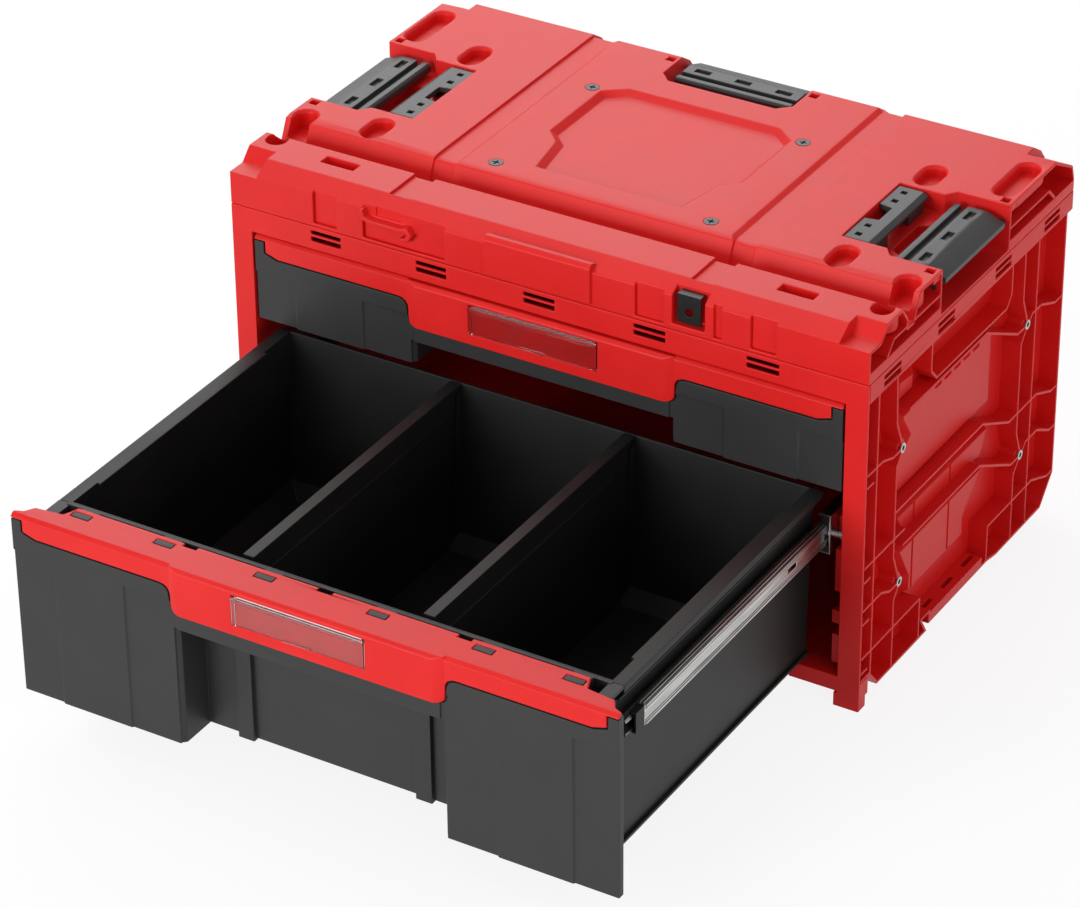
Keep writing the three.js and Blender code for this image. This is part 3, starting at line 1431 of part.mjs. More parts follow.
function tubBody(height, withGuides) {
  const low = -height + tub.bottomGap;
  const top = -tub.topGap;
  const outer = mirrored(
    [[drawerSide, top], [drawerSide, low + tub.corner], [drawerSide - tub.corner / 2, low]],
  );
  const rearTop = rearAt(height, top);
  const sideView = [[tubFront, low], [tubRear, low], [rearTop, top], [tubFront, top]];
  const body = extrude('y', outer, [tubFront, rearTop]).intersect(
    extrude('x', sideView, [-drawerSide, drawerSide]),
  );
  const centre = -slide.centreDrop;
  const rims = bothSides((s) => [
    block(
      turned([drawerSide - wall, drawerSide + tub.rimOut], s),
      [tubFront, rearTop],
      [top - tub.rimHeight, top],
    ),
    block(
      turned([drawerSide + tub.rimOut - tub.hookWall, drawerSide + tub.rimOut], s),
      [tubFront, rearTop],
      [top - tub.rimHook, top],
    ),
    block(
      turned([drawerSide - wall, drawerSide + tub.footProud], s),
      [tubFront, tubRear],
      [low + tub.corner / 2, low + tub.corner / 2 + tub.footHeight],
    ),
    block(
      turned([drawerSide - wall, drawerSide + tub.ledgeProud], s),
      [tubFront, tubRear],
      [top - tub.ledgeDrop - tub.ledgeHeight, top - tub.ledgeDrop],
    ),
    block(
      turned([drawerSide - wall, drawerSide + tub.footProud], s),
      [tubFront, tubRear],
      span(centre, slide.innerHeight - 2 * wall),
    ),
  ]).flat();
  const inRims = bothSides((s) =>
    block(
      turned([drawerSide - wall - tub.rimIn, drawerSide - wall / 2], s),
      [tubFront + tub.rimEndInset, tubRear - tub.rimEndInset],
      [top - tub.rimHeight, top],
    ));
  const guideX = divider.web / 2 + seat;
  const guides = !withGuides ? [] : bothSides((s) => guideEnds(height).flatMap((sideView) =>
    [[guideX, guideX + tub.guideWall], [-guideX - tub.guideWall, -guideX]].map(([x0, x1]) =>
      extrude('x', sideView, [s * divider.x + x0, s * divider.x + x1])))).flat();
  return join(cut(join(body, rims), cavity(height, 0)), inRims, guides);
}

// Side views of the guides that hold a divider at the front and at the leaning rear wall
function guideEnds(height) {
  const low = -height + tub.bottomGap + wall / 2;
  const high = -tub.topGap - divider.flange - tub.rimHook;
  const frontEnds = [tubFront + wall / 2, tubFront + wall + tub.guideDepth];
  const rearEnds = (z) => [rearAt(height, z) - wall - tub.guideDepth, rearAt(height, z) - wall / 2];
  return [
    [[frontEnds[0], low], [frontEnds[1], low], [frontEnds[1], high], [frontEnds[0], high]],
    [
      [rearEnds(low)[0], low], [rearEnds(low)[1], low], [rearEnds(high)[1], high],
      [rearEnds(high)[0], high],
    ],
  ];
}

function dividerWall(height, s) {
  const floor = -height + tub.bottomGap + wall;
  const top = -tub.topGap;
  const half = divider.web / 2;
  const profile = mirrored([
    [divider.top / 2, top], [divider.top / 2, top - divider.flange], [half, top - divider.flange],
    [half, top - divider.beadDrop], [half + divider.bead, top - divider.beadDrop],
    [half + divider.bead, top - divider.beadDrop - divider.beadHeight],
    [half, top - divider.beadDrop - divider.beadHeight], [half, floor],
  ]).map(([u, v]) => [u + s * divider.x, v]);
  const y0 = tubFront + wall + tub.guideDepth + seat;
  const y1 = rearAt(height, floor) - wall - tub.guideDepth - seat;
  const yTop = rearAt(height, top) - wall - seat;
  const web = block(span(s * divider.x, divider.web), [tubFront, yTop], [floor, top - divider.flange]);
  const crown = block(
    span(s * divider.x, divider.top),
    [y1 - overrun, yTop - seat],
    [top - divider.flange, top],
  );
  return join(extrude('y', profile, [y0, y1]), web, crown).intersect(cavity(height, seat));
}

// Slide sections, drawn in (distance from the drawer side, height)
function caseSection() {
  const v = (slide.height - slide.sheet) / 2;
  const u = slide.thickness - slide.sheet / 2;
  return [
    [slide.lipStart, v - slide.lip], [slide.lipStart + slide.lipRun, v], [u, v], [u, -v],
    [slide.lipStart + slide.lipRun, -v], [slide.lipStart, -v + slide.lip],
  ];
}

function middleSection() {
  const v = (slide.middleHeight - slide.middleSheet) / 2;
  const u = slide.thickness - slide.middleSetback - slide.middleSheet / 2;
  const reach = u - slide.middleReach;
  return [
    [reach - slide.lipRun, v - slide.lip / 2], [reach, v], [u, v], [u, -v], [reach, -v],
    [reach - slide.lipRun, -v + slide.lip / 2],
  ];
}

function innerSection() {
  const v = (slide.innerHeight - slide.sheet) / 2;
  const u = slide.sheet / 2;
  const reach = slide.innerReach - slide.lipRun;
  return [
    [slide.innerReach, v - slide.lip], [reach, v], [u, v], [u, -v], [reach, -v],
    [slide.innerReach, -v + slide.lip],
  ];
}

function slideMember(section, sheet, z, [y0, y1]) {
  const outline = sheetOutline(section.map(([u, v]) => [slideInner + u, z + v]), sheet);
  return extrude('y', outline, [y0, y1]);
}

function caseRail(z) {
  const rail = slideMember(caseSection(), slide.sheet, z, [slideFront, slideRear]);
  const holes = [railScrewY, ...railBossPlaces].map((y) =>
    bar('x', railScrew.shank + seat, [y, z], [slideOuter - slide.sheet - overrun, slideOuter + overrun]));
  return cut(rail, holes);
}

const middleOuter = slideInner + slide.thickness - slide.middleSetback;
const capSheet = slide.middleSheet + cap.step;
const middleFront = slideFront + cap.length + seat;
const middleLength = slideLength - slide.middleShort;
const innerLength = slideLength - slide.innerShort;

function middleRail(z, shift) {
  const y0 = middleFront - shift;
  const rail = slideMember(middleSection(), slide.middleSheet, z, [y0, y0 + middleLength]);
  const slot = block(
    [middleOuter - slide.middleSheet - overrun, middleOuter + overrun],
    span(y0 + middleLength * middleSlotShare, slide.slotLength), span(z, slide.slotWidth),
  );
  return cut(rail, slot);
}

function drawerRail(z) {
  const y0 = tubFront;
  const rail = slideMember(innerSection(), slide.sheet, z, [y0, y0 + innerLength]);
  const slots = slotShares.map((share) =>
    block(
      [slideInner - overrun, slideInner + slide.sheet + overrun],
      span(y0 + innerLength * share, slide.slotLength),
      span(z, slide.slotWidth),
    ));
  return cut(rail, slots);
}

// Plastic stop in the front end of a case rail
function railStop(z) {
  const outer = slide.height / 2 - slide.sheet - seat;
  const inner = slide.middleHeight / 2 + stop.gap;
  const u = [slideInner + stop.inner, slideOuter - slide.sheet - stop.gap];
  const y = [slideFront, slideFront + stop.length];
  const strips = bothSides((s) => block(u, y, span(z + s * (outer + inner) / 2, outer - inner)));
  const bridgeY = [y[0] + stop.bridgeStart, y[0] + stop.bridgeStart + stop.bridgeLength];
  return join(strips, block([middleOuter + stop.gap, u[1]], bridgeY, span(z, 2 * outer)));
}

// Plastic cap on the front end of a middle rail, held by a tongue inside it
function railCap(z, shift) {
  const y0 = slideFront - shift;
  const half = slide.middleHeight / 2;
  const reach = slideInner + slide.thickness - slide.middleSetback - slide.middleReach;
  const section = sheetOutline([
    [reach, half - capSheet / 2], [middleOuter - capSheet / 2, half - capSheet / 2],
    [middleOuter - capSheet / 2, capSheet / 2 - half], [reach, capSheet / 2 - half],
  ], capSheet).map(([x, v]) => [x, z + v]);
  const tongueOuter = middleOuter - slide.middleSheet - seat;
  const tongue = block(
    [tongueOuter - cap.tongueSheet, tongueOuter],
    [y0 + cap.length / 2, y0 + cap.length + cap.tongue],
    span(z, cap.tongueHeight),
  );
  return join(extrude('y', section, [y0, y0 + cap.length]), tongue);
}

function railScrewPiece(z) {
  const head = slideOuter - slide.sheet - seat;
  return turnedAlongX([
    [0, head - railScrew.headHeight], [railScrew.headRadius, head - railScrew.headHeight],
    [railScrew.headRadius, head],
    [railScrew.shank, head], [railScrew.shank, skinOuter + overrun], [0, skinOuter + overrun],
  ], [0, railScrewY, z]);
}

// Assembly
addNode(shell, 'front_frame', frontFrame(), red);
addPair(shell, 'side_wall', sideWall(), red);
addNode(shell, 'back_wall', backWall(), red);
addNode(shell, 'base_panel', basePanel(), red);
addNode(shell, 'top_cover', topCover(), red);
addNode(shell, 'padlock_tab', padlockTab(), blackSteel);
screwPlaces().forEach((place, i) => addNode(shell, 'cover_screw_' + (i + 1), deckScrew(place), blackSteel));
ringPlaceShares.forEach((place, i) => addPair(shell, 'wall_screw_' + (i + 1), socketScrew(place), steel));
addPair(shell, 'latch_plate', snapPlate(), latchGrey);
addPair(shell, 'wing_latch', sideWing(), latchGrey);
addNode(shell, 'rear_wing_latch', rearWing(), latchGrey);
for (const [level, z] of Object.entries(slideHeights)) {
  addPair(shell, level + '_case_rail', caseRail(z), steel);
  addPair(shell, level + '_rail_screw', railScrewPiece(z), steel);
  addPair(shell, level + '_rail_stop', railStop(z), black);
  addPair(
    shell,
    level + '_middle_rail',
    middleRail(z, level === 'lower' ? drawerTravel * middleShare : 0),
    steel,
  );
  addPair(
    shell,
    level + '_rail_cap',
    railCap(z, level === 'lower' ? drawerTravel * middleShare : 0),
    black,
  );
}

function addDrawer(group, level, height, top, pulled) {
  group.position.set(0, front - pulled, top);
  addNode(group, level + '_fascia', greyFascia(height), grey);
  addNode(group, level + '_trim', redTrim(), red);
  addNode(group, level + '_label_holder', labelHolder(), clear);
  addNode(group, level + '_tub', tubBody(height, level === 'lower'), black);
  addPair(group, level + '_drawer_rail', drawerRail(-slide.centreDrop), steel);
}

addDrawer(lowerDrawer, 'lower', lowerHeight, lowerTop, drawerTravel);
addDrawer(upperDrawer, 'upper', upperHeight, upperTop, 0);
addNode(lowerDrawer, 'divider_left', dividerWall(lowerHeight, -1), black);
addNode(lowerDrawer, 'divider_right', dividerWall(lowerHeight, 1), black);

// The origin is under the middle of the whole model as it stands, with the lower drawer open.
const openFront = front - drawerTravel - trim.proud - holder.sheet - holder.barProud + holder.sink;
toolbox.position.y = -(openFront + rear) / 2;

export default toolbox;
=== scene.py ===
import json
import math

import bpy
from mathutils import Matrix, Vector


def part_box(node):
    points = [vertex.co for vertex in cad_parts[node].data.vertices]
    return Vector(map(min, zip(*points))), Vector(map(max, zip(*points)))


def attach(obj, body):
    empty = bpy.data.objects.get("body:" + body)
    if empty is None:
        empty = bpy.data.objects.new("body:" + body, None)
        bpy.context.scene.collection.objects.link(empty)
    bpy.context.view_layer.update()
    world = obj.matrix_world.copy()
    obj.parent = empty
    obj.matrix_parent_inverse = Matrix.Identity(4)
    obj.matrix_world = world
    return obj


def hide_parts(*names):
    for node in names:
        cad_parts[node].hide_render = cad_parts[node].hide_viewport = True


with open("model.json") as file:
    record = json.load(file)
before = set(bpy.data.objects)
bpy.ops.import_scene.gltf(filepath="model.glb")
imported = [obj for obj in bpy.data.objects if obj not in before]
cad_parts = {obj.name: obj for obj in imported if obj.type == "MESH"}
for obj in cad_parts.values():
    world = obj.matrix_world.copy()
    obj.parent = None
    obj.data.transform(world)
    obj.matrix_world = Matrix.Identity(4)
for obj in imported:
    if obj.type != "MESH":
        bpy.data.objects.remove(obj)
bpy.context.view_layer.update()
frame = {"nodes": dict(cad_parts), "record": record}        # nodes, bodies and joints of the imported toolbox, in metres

mm = 0.001               # one millimetre in metres; sizes below are in millimetres and turns in degrees


# camera

# the lens in pixels of the 1080 by 907 frame, the turns that aim it, and its place in metres
shot = {
    "focalPixels": 4498.15, "framePixels": 1080, "filmWidth": 36,
    "azimuth": 31.26, "elevation": 31.62, "roll": -0.6,
    "place": (1.57716, -2.60580, 2.02074), "farthest": 60,
}


def makeCamera():
    data = bpy.data.cameras.new("photoCamera")
    data.sensor_width = shot["filmWidth"]
    data.lens = shot["focalPixels"] * shot["filmWidth"] / shot["framePixels"]
    data.clip_end = shot["farthest"]
    camera = bpy.data.objects.new("photoCamera", data)
    bpy.context.scene.collection.objects.link(camera)
    turn = (
        Matrix.Rotation(math.radians(shot["azimuth"]), 4, "Z")
        @ Matrix.Rotation(math.radians(90 - shot["elevation"]), 4, "X")
        @ Matrix.Rotation(math.radians(shot["roll"]), 4, "Z")
    )
    camera.matrix_world = Matrix.Translation(Vector(shot["place"])) @ turn
    bpy.context.scene.camera = camera


# materials

def linearOf(hexColour):
    shades = [int(hexColour[i:i + 2], 16) / 255 for i in (1, 3, 5)]
    return tuple(c / 12.92 if c <= 0.04045 else ((c + 0.055) / 1.055) ** 2.4 for c in shades) + (1.0,)


def addNode(tree, kind, settings=None, inputs=None):
    node = tree.nodes.new(kind)
    for name, value in (settings or {}).items():
        setattr(node, name, value)
    for name, value in (inputs or {}).items():
        if isinstance(value, bpy.types.NodeSocket):
            tree.links.new(value, node.inputs[name])
        else:
            node.inputs[name].default_value = value
    return node


def startMaterial(name):
    material = bpy.data.materials.new(name)
    material.use_nodes = True
    material.node_tree.nodes.clear()
    return material, material.node_tree


def perMetre(size):
    return 1 / (size * mm)        # a noise scale whose features are about this many millimetres across


# Sets where the darker and the lighter shade of a colour ramp end, and what they are
def setShades(ramp, stops, finish):
    for element, stop, shade in zip(ramp.elements, stops, ("dark", "light")):
        element.position = stop
        element.color = linearOf(finish[shade])


# what all grained surfaces share: where the shades end, how far the gloss drifts, and how deep the grain is
grained = {"stops": (0.3, 0.7), "drift": 0.04, "cloudDetail": 3, "grainDetail": 2, "depth": 0.1}


# A dull surface with a fine grain, cloudy gloss and a colour that drifts a little. The real grain of the
# mould is about 0.1 mm and is drawn at 0.6 to 0.9 mm, so that it shows
def grainedSurface(name, finish):
    material, tree = startMaterial(name)
    place = addNode(tree, "ShaderNodeTexCoord").outputs["Object"]
    cloud = addNode(tree, "ShaderNodeTexNoise", None, {
        "Vector": place, "Scale": perMetre(finish["cloud"]), "Detail": grained["cloudDetail"],
    })
    tint = addNode(tree, "ShaderNodeValToRGB", None, {"Fac": cloud.outputs["Fac"]})
    setShades(tint.color_ramp, grained["stops"], finish)
    gloss = addNode(tree, "ShaderNodeMapRange", None, {
        "Value": cloud.outputs["Fac"],
        "To Min": finish["rough"] - grained["drift"], "To Max": finish["rough"] + grained["drift"],
    })
    grain = addNode(tree, "ShaderNodeTexNoise", None, {
        "Vector": place, "Scale": perMetre(finish["grain"]), "Detail": grained["grainDetail"],
    })
    relief = addNode(tree, "ShaderNodeBump", None, {
        "Height": grain.outputs["Fac"], "Strength": finish["relief"], "Distance": grained["depth"] * mm,
    })
    shader = addNode(tree, "ShaderNodeBsdfPrincipled", None, {
        "Base Color": tint.outputs["Color"], "Roughness": gloss.outputs["Result"],
        "Normal": relief.outputs["Normal"], "IOR": finish["ior"], "Specular IOR Level": finish["sheen"],
    })
    addNode(tree, "ShaderNodeOutputMaterial", None, {"Surface": shader.outputs["BSDF"]})
    return material


# Bright metal with rolling lines along it. The real lines are about 0.2 mm apart and are drawn at 1.2 mm
def rolledMetal(name, finish):
    material, tree = startMaterial(name)
    place = addNode(tree, "ShaderNodeTexCoord").outputs["Object"]
    along = addNode(tree, "ShaderNodeMapping", None, {"Vector": place, "Scale": finish["stretch"]})
    lines = addNode(tree, "ShaderNodeTexNoise", None, {
        "Vector": along.outputs["Vector"], "Scale": perMetre(finish["lines"]), "Detail": finish["lineDetail"],
    })
    cloud = addNode(tree, "ShaderNodeTexNoise", None, {
        "Vector": place, "Scale": perMetre(finish["cloud"]), "Detail": finish["cloudDetail"],
    })
    gloss = addNode(tree, "ShaderNodeMapRange", None, {
        "Value": cloud.outputs["Fac"],
        "To Min": finish["rough"] - finish["brighter"], "To Max": finish["rough"] + finish["duller"],
    })
    tint = addNode(tree, "ShaderNodeValToRGB", None, {"Fac": lines.outputs["Fac"]})
    setShades(tint.color_ramp, finish["stops"], finish)
    relief = addNode(tree, "ShaderNodeBump", None, {
        "Height": lines.outputs["Fac"], "Strength": finish["relief"], "Distance": finish["depth"] * mm,
    })
    shader = addNode(tree, "ShaderNodeBsdfPrincipled", None, {
        "Base Color": tint.outputs["Color"], "Metallic": 1.0, "Roughness": gloss.outputs["Result"],
        "Normal": relief.outputs["Normal"],
    })
    addNode(tree, "ShaderNodeOutputMaterial", None, {"Surface": shader.outputs["BSDF"]})
    return material


# A clear, polished surface with a faint ripple from the mould
def clearSurface(name, finish):
    material, tree = startMaterial(name)
    place = addNode(tree, "ShaderNodeTexCoord").outputs["Object"]
    ripple = addNode(tree, "ShaderNodeTexNoise", None, {
        "Vector": place, "Scale": perMetre(finish["ripple"]), "Detail": finish["rippleDetail"],
    })
    relief = addNode(tree, "ShaderNodeBump", None, {
        "Height": ripple.outputs["Fac"], "Strength": finish["relief"], "Distance": finish["depth"] * mm,
    })
    shader = addNode(tree, "ShaderNodeBsdfPrincipled", None, {
        "Base Color": linearOf(finish["tint"]), "Transmission Weight": 1.0,
        "Roughness": finish["rough"], "IOR": finish["ior"], "Normal": relief.outputs["Normal"],
    })
    addNode(tree, "ShaderNodeOutputMaterial", None, {"Surface": shader.outputs["BSDF"]})
    return material


# moulded red polypropylene of the case and the drawers' trims: a warm, even red with wide, soft highlights
redFinish = {
    "light": "#E3211F", "dark": "#DC1B1A", "cloud": 60,
    "rough": 0.46, "grain": 0.9, "relief": 0.16, "ior": 1.49, "sheen": 0.3,
}
# moulded grey polypropylene of the drawer fronts: a matt charcoal that greys where light grazes it
greyFinish = {
    "light": "#303030", "dark": "#2C2C2C", "cloud": 50,
    "rough": 0.5, "grain": 0.9, "relief": 0.2, "ior": 1.5, "sheen": 0.35,
}
# moulded polypropylene of the tubs and dividers: a dull near black, partly own tone, partly painted shade
nearBlackAndShadeFinish = {
    "light": "#1C1C1C", "dark": "#171717", "cloud": 50,
    "rough": 0.52, "grain": 0.9, "relief": 0.2, "ior": 1.5, "sheen": 0.35,
}
# moulded glass-filled polyamide of the latches: a paler grey than the fronts, with a little more gloss
latchFinish = {
    "light": "#3C3C3C", "dark": "#363636", "cloud": 30,
    "rough": 0.44, "grain": 0.8, "relief": 0.15, "ior": 1.55, "sheen": 0.4,
}
# black oxide on the steel of the deck's screws and the padlock tab: a thin dark skin that hides the metal
oxideFinish = {
    "light": "#1C1C1D", "dark": "#151516", "cloud": 4,
    "rough": 0.38, "grain": 0.6, "relief": 0.1, "ior": 1.5, "sheen": 0.5,
}
# cold-rolled steel strip with bright zinc plate, of the slides: streaked silver with long, thin lines
stripFinish = {
    "light": "#CFCFCD", "dark": "#A4A4A2", "stops": (0.35, 0.65),
    "lines": 1.2, "lineDetail": 3, "stretch": (1, 0.03, 1), "relief": 0.12, "depth": 0.05,
    "rough": 0.3, "brighter": 0.05, "duller": 0.07, "cloud": 30, "cloudDetail": 2,
}
# moulded clear polycarbonate of the label holders: glass-like, with edges that catch the light
holderFinish = {
    "tint": "#F4F4F4", "rough": 0.1, "ior": 1.49,
    "ripple": 14, "rippleDetail": 1, "relief": 0.03, "depth": 0.1,
}

finishOfSlot = {
    "red_plastic": grainedSurface("redPolypropylene", redFinish),
    "grey_plastic": grainedSurface("greyPolypropylene", greyFinish),
    # the tubs' near black, darker than the fronts' grey, is in part painted shade for their dark insides
    "black_plastic": grainedSurface("nearBlackAndShadePolypropylene", nearBlackAndShadeFinish),
    "latch_plastic": grainedSurface("latchPolyamide", latchFinish),
    "black_steel": grainedSurface("blackOxideSteel", oxideFinish),
    "steel": rolledMetal("zincPlatedSteel", stripFinish),
    "clear_plastic": clearSurface("clearPolycarbonate", holderFinish),
}
slotOfNode = {part["node"]: part["material_slot"] for part in frame["record"]["subparts"]}
bodyOfNode = {
    node: body for body, nodes in frame["record"]["behaviour"]["bodies"].items() for node in nodes
}
print("materials made:", len(finishOfSlot))


# selecting

def onlySelect(piece):
    bpy.ops.object.select_all(action="DESELECT")
    piece.select_set(True)
    bpy.context.view_layer.objects.active = piece


# Leaves the piece in edit mode with the wanted faces selected
def selectFaces(piece, wanted):
    onlySelect(piece)
    bpy.ops.object.mode_set(mode="EDIT")
    bpy.ops.mesh.select_mode(type="FACE")
    bpy.ops.mesh.select_all(action="DESELECT")
    bpy.ops.object.mode_set(mode="OBJECT")
    for face in piece.data.polygons:
        face.select = wanted(face)
    bpy.ops.object.mode_set(mode="EDIT")


# Leaves the piece in edit mode with the wanted corners selected, and says how many they are
def selectCorners(piece, wanted):
    bpy.ops.object.mode_set(mode="EDIT")
    bpy.ops.mesh.select_all(action="DESELECT")
    bpy.ops.mesh.select_mode(type="VERT")
    bpy.ops.object.mode_set(mode="OBJECT")
    found = [corner for corner in piece.data.vertices if wanted(corner.co / mm)]
    for corner in found:
        corner.select = True
    bpy.ops.object.mode_set(mode="EDIT")
    return len(found)


# a copy of each solid, cut into plain faces

# corners this near are merged and faces this flat joined; large faces with pockets in them are then cut
merging = {
    "near": 0.01, "flat": 0.6,
    "cutFirst": ("top_cover", "side_wall_left", "side_wall_right", "back_wall"),
}

# planes along the sides of the windows, which cut a pierced face into plain oblongs; an x stands for both
# halves of the box, and only what lies above a given height is cut
slotLevels = (283.2, 287.4, 289.6, 293)
plateCuts = {
    "x": (202.8, 207.8), "y": (130.4, 135.4, 145.9, 150.9, 158.1, 184.7, 191.9, 196.9, 207.4, 212.4),
}
wingCuts = {"x": (260.2, 266.2), "y": (126.4, 140.4, 164.4, 178.4, 202.4, 216.4)}
bandCuts = {
    "y": (18.5, 46.5, 108.9, 136.9, 209, 237, 297.4, 325.4), "z": slotLevels, "above": 279.9,
}
windowCuts = {
    "front_frame": {"x": (14, 85, 113, 183.9, 211.9), "z": slotLevels},
    "latch_plate_left": plateCuts, "latch_plate_right": plateCuts,
    "wing_latch_left": wingCuts, "wing_latch_right": wingCuts,
    "rear_wing_latch": {"x": (7, 31, 45), "y": (319.1, 325.1)},
    "side_wall_left": bandCuts, "side_wall_right": bandCuts,
}
belowAll = -1            # a height that all of the box is above


def cutAtWindows(piece, cuts):
    across = [corner.co.x / mm for corner in piece.data.vertices]
    low, high = min(across), max(across)
    planes = [
        ((side * x, 0, 0), (1, 0, 0))
        for x in cuts.get("x", ()) for side in (-1, 1) if low < side * x < high
    ]
    planes += [((0, y, 0), (0, 1, 0)) for y in cuts.get("y", ())]
    planes += [((0, 0, z), (0, 0, 1)) for z in cuts.get("z", ())]
    least = cuts.get("above", belowAll) * mm
    for place, normal in planes:
        corners = piece.data.vertices
        selectFaces(piece, lambda face: all(corners[index].co.z > least for index in face.vertices))
        bpy.ops.mesh.bisect(plane_co=[c * mm for c in place], plane_no=normal)
        bpy.ops.object.mode_set(mode="OBJECT")


def cutConcave(piece):
    onlySelect(piece)
    bpy.ops.object.mode_set(mode="EDIT")
    bpy.ops.mesh.select_all(action="SELECT")
    bpy.ops.mesh.vert_connect_concave()
    bpy.ops.object.mode_set(mode="OBJECT")


# Two faces on the same corners, back to back, are a skin of no thickness: both go
def dropSkins(piece):
    alike = {}
    for face in piece.data.polygons:
        alike.setdefault(tuple(sorted(face.vertices)), []).append(face.index)
    doubled = {index for group in alike.values() if len(group) > 1 for index in group}
    if doubled:
        selectFaces(piece, lambda face: face.index in doubled)
        bpy.ops.mesh.delete(type="FACE")
        bpy.ops.object.mode_set(mode="OBJECT")
        print("skins dropped:", piece.name, len(doubled))


def mouldedCopy(node):
    piece = bpy.data.objects.new(node + "_finished", frame["nodes"][node].data.copy())
    bpy.context.scene.collection.objects.link(piece)
    onlySelect(piece)
    bpy.ops.mesh.customdata_custom_splitnormals_clear()
    bpy.ops.object.mode_set(mode="EDIT")
    bpy.ops.mesh.select_all(action="SELECT")
    bpy.ops.mesh.remove_doubles(threshold=merging["near"] * mm)
    bpy.ops.mesh.dissolve_limited(angle_limit=math.radians(merging["flat"]))
    bpy.ops.object.mode_set(mode="OBJECT")
    if node in windowCuts:
        cutAtWindows(piece, windowCuts[node])
    if node in merging["cutFirst"]:
        cutConcave(piece)
        dropSkins(piece)
    return piece


# drawer fronts

# the pads that stand out from the ears of a front have steep, crisp sides: the lines of corners at the
# foot of those sides, as x and how far outwards each line moves, and the y of the sunken face they are on
pads = {
    "lines": ((233.5, -3.4), (160.5, 3.4)), "nearX": 0.6, "nearY": 0.4,
    "sunkY": {"lower_fascia": -343.1, "upper_fascia": -6.1},
}


def steepenPads(piece, sunkY):
    moved = 0
    for side in (-1, 1):
        for lineX, shift in pads["lines"]:
            found = selectCorners(piece, lambda corner: (
                abs(corner.x - side * lineX) < pads["nearX"] and abs(corner.y - sunkY) < pads["nearY"]
            ))
            if found:
                bpy.ops.transform.translate(value=(side * shift * mm, 0, 0))
            bpy.ops.object.mode_set(mode="OBJECT")
            moved += found
    print("pads steepened:", piece.name, moved)


# cover

# the inner wall of each channel on the deck leans: its upper corners, as y and z, and how far they move
channel = {
    "innerX": 127, "lean": 4.5, "near": 0.3,
    "upper": ((80.4, 339.4), (327.4, 339.4), (337.16, 333.13), (341.4, 330.4), (350.4, 318.3)),
}


def leanChannels(piece):
    near = channel["near"]
    moved = 0
    for side in (-1, 1):
        moved += selectCorners(piece, lambda corner: (
            abs(corner.x - side * channel["innerX"]) < near
            and any(abs(corner.y - y) < near and abs(corner.z - z) < near for y, z in channel["upper"])
        ))
        bpy.ops.transform.translate(value=(-side * channel["lean"] * mm, 0, 0))
        bpy.ops.object.mode_set(mode="OBJECT")
    print("channels leaned:", piece.name, moved)


# middle rails of the slides

# the beads rolled into a rail: how far down its outer face or in along its top, how wide and how proud
beads = {
    "face": ((1.3, 2.0, 0.9), (3.7, 1.2, 0.7), (14.3, 1.2, 0.7), (16.7, 2.0, 0.9)),
    "top": ((2.0, 1.0, 0.8), (5.0, 1.0, 0.8)),
    "endGap": 1.5,
}


# A plain bar, which the rounding of the rail's edges then makes a bead
def addBead(place, size):
    bpy.ops.object.select_all(action="DESELECT")
    bpy.ops.mesh.primitive_cube_add(size=1, location=[c * mm for c in place])
    bead = bpy.context.active_object
    bpy.ops.object.mode_set(mode="EDIT")
    bpy.ops.mesh.select_all(action="SELECT")
    bpy.ops.transform.resize(value=[s * mm for s in size])
    bpy.ops.object.mode_set(mode="OBJECT")
    bpy.ops.object.transform_apply(location=True, rotation=False, scale=True)
    return bead


def rollBeads(piece, node):
    low, high = [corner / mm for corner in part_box(node)]
    side = 1 if high.x > 0 else -1
    outer = high.x if side > 0 else low.x
    middle = (low.y + high.y) / 2
    length = high.y - low.y - 2 * beads["endGap"]
    made = []
    for down, wide, proud in beads["face"]:
        made.append(addBead((outer, middle, high.z - down), (2 * proud, length, wide)))
    for inward, wide, proud in beads["top"]:
        made.append(addBead((outer - side * inward, middle, high.z), (wide, length, 2 * proud)))
    onlySelect(piece)
    for bead in made:
        bead.select_set(True)
    bpy.ops.object.join()


# rounded edges

# radius in millimetres of the edges of each solid
edgeRadii = {
    "front_frame": 0.8, "side_wall_left": 0.6, "side_wall_right": 0.6, "back_wall": 0.7,
    "base_panel": 0.7, "top_cover": 1.0, "padlock_tab": 0.4,
    "latch_plate_left": 0.5, "latch_plate_right": 0.5,
    "wing_latch_left": 0.6, "wing_latch_right": 0.6, "rear_wing_latch": 0.6,
    "lower_fascia": 0.9, "upper_fascia": 0.9, "lower_trim": 1.0, "upper_trim": 1.0,
    "lower_label_holder": 0.3, "upper_label_holder": 0.3, "lower_tub": 0.7, "upper_tub": 0.7,
    "divider_left": 0.5, "divider_right": 0.5,
}
screwRadius = 0.25
railRadii = {
    "case_rail": 0.2, "middle_rail": 0.5, "drawer_rail": 0.2,
    "rail_stop": 0.2, "rail_cap": 0.2, "rail_screw": 0.2,
}
for number in "1234":
    edgeRadii["cover_screw_" + number] = screwRadius
for side in ("left", "right"):
    for number in "1234":
        edgeRadii["wall_screw_" + number + "_" + side] = screwRadius
    for level in ("lower", "upper"):
        for stem, radius in railRadii.items():
            edgeRadii[level + "_" + stem + "_" + side] = radius

# only edges sharper than this are rounded, up to this share of the shortest edge beside them; faces that
# meet more flatly than the last angle are shaded as one
rounding = {"segments": 2, "sharp": 24, "room": 0.42, "smooth": 32}


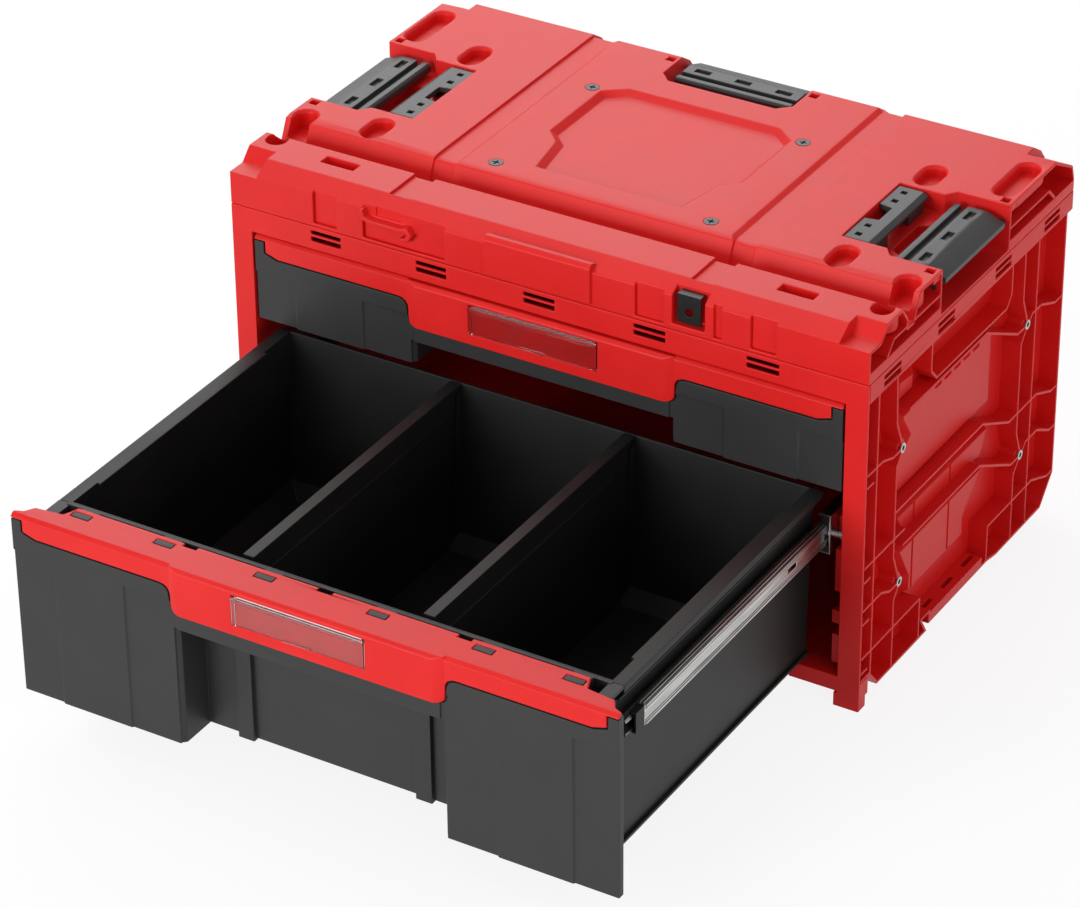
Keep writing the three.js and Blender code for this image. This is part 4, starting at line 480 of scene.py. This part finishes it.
def softenEdges(piece, radius):
    mesh = piece.data
    facesOf = {}
    for face in mesh.polygons:
        for key in face.edge_keys:
            facesOf.setdefault(key, []).append(face.normal)
    shortest = {}
    for edge in mesh.edges:
        start, end = edge.vertices
        length = (mesh.vertices[start].co - mesh.vertices[end].co).length
        for corner in (start, end):
            shortest[corner] = min(shortest.get(corner, length), length)
    weights = mesh.attributes.new("bevel_weight_edge", "FLOAT", "EDGE")
    for edge in mesh.edges:
        normals = facesOf.get(edge.key, [])
        if len(normals) != 2 or normals[0].length == 0 or normals[1].length == 0:
            continue
        if normals[0].angle(normals[1]) < math.radians(rounding["sharp"]):
            continue
        room = rounding["room"] * min(shortest[corner] for corner in edge.vertices)
        weights.data[edge.index].value = min(1, room / radius)
    onlySelect(piece)
    bevel = piece.modifiers.new("edgeRadius", "BEVEL")
    bevel.limit_method = "WEIGHT"
    bevel.width = radius
    bevel.segments = rounding["segments"]
    bevel.use_clamp_overlap = False
    bevel.loop_slide = False        # with it on, narrow faces beside a window turn over
    bpy.ops.object.modifier_apply(modifier="edgeRadius")
    cutConcave(piece)
    bpy.ops.object.shade_smooth_by_angle(angle=math.radians(rounding["smooth"]))
    even = piece.modifiers.new("evenShading", "WEIGHTED_NORMAL")
    even.keep_sharp = True
    bpy.ops.object.modifier_apply(modifier="evenShading")


# Gives the piece its material and puts it in its solid's place
def settle(piece, node):
    slot = slotOfNode[node]
    piece.data.materials.clear()
    piece.data.materials.append(finishOfSlot[slot])
    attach(piece, bodyOfNode[node])
    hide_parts(node)


for node, radius in edgeRadii.items():
    piece = mouldedCopy(node)
    if "middle_rail" in node:
        rollBeads(piece, node)
    if node in pads["sunkY"]:
        steepenPads(piece, pads["sunkY"][node])
    if node == "top_cover":
        leanChannels(piece)
    softenEdges(piece, radius * mm)
    settle(piece, node)
print("solids finished:", len(edgeRadii))


# floor, lamps and world

# sizes and places in metres, powers in watts; what the camera sees of the floor is white, and what the
# box gets from it is greyer
studio = {
    "floorSize": 14, "floorColour": "#FEFEFE", "floorBounce": "#E4E4E4", "floorGlow": 0.85,
    "glowStrength": 1.03, "sky": 0.42, "aim": (0, 0, 0.2),
    "lamps": {
        "key": {"place": (-2.3, 3.1, 2.5), "size": 3.0, "power": 85},
        "over": {"place": (-1.7, 0.3, 4.4), "size": 2.6, "power": 42},
        "front": {"place": (-1.3, -5.2, 1.4), "size": 2.4, "power": 165},
        "side": {"place": (4.2, -1.6, 1.2), "size": 2.2, "power": 30},
    },
}


def makeFloor():
    bpy.ops.object.select_all(action="DESELECT")
    bpy.ops.mesh.primitive_plane_add(size=studio["floorSize"], location=(0, 0, 0))
    floor = bpy.context.active_object
    floor.name = "studioFloor"
    material, tree = startMaterial("studioFloor")
    ray = addNode(tree, "ShaderNodeLightPath").outputs
    seen = addNode(tree, "ShaderNodeMath", {"operation": "MAXIMUM"}, {
        0: ray["Is Camera Ray"], 1: ray["Is Glossy Ray"],
    })
    through = addNode(tree, "ShaderNodeMath", {"operation": "MAXIMUM"}, {
        0: seen.outputs[0], 1: ray["Is Transmission Ray"],
    })
    tint = addNode(tree, "ShaderNodeMixRGB", None, {
        "Fac": through.outputs[0],
        "Color1": linearOf(studio["floorBounce"]), "Color2": linearOf(studio["floorColour"]),
    })
    matt = addNode(tree, "ShaderNodeBsdfDiffuse", None, {"Color": tint.outputs["Color"]})
    glow = addNode(tree, "ShaderNodeEmission", None, {
        "Color": linearOf(studio["floorColour"]), "Strength": studio["glowStrength"],
    })
    share = addNode(tree, "ShaderNodeMath", {"operation": "MULTIPLY"}, {
        0: through.outputs[0], 1: studio["floorGlow"],
    })
    both = addNode(tree, "ShaderNodeMixShader", None, {
        0: share.outputs[0], 1: matt.outputs["BSDF"], 2: glow.outputs["Emission"],
    })
    addNode(tree, "ShaderNodeOutputMaterial", None, {"Surface": both.outputs["Shader"]})
    floor.data.materials.append(material)


def makeLamp(name, plan):
    data = bpy.data.lights.new(name, "AREA")
    data.size = plan["size"]
    data.energy = plan["power"]
    lamp = bpy.data.objects.new(name, data)
    bpy.context.scene.collection.objects.link(lamp)
    place = Vector(plan["place"])
    turn = (place - Vector(studio["aim"])).to_track_quat("Z", "Y").to_matrix().to_4x4()
    lamp.matrix_world = Matrix.Translation(place) @ turn


def makeWorld():
    world = bpy.data.worlds.new("studioWorld")
    world.use_nodes = True
    tree = world.node_tree
    tree.nodes.clear()
    sky = addNode(tree, "ShaderNodeBackground", None, {"Color": (1, 1, 1, 1), "Strength": studio["sky"]})
    addNode(tree, "ShaderNodeOutputWorld", None, {"Surface": sky.outputs["Background"]})
    bpy.context.scene.world = world


makeCamera()
makeFloor()
for name, plan in studio["lamps"].items():
    makeLamp(name, plan)
makeWorld()
bpy.context.scene.view_settings.view_transform = "Standard"
print("studio lit:", len(studio["lamps"]), "lamps")

print("scene ready")
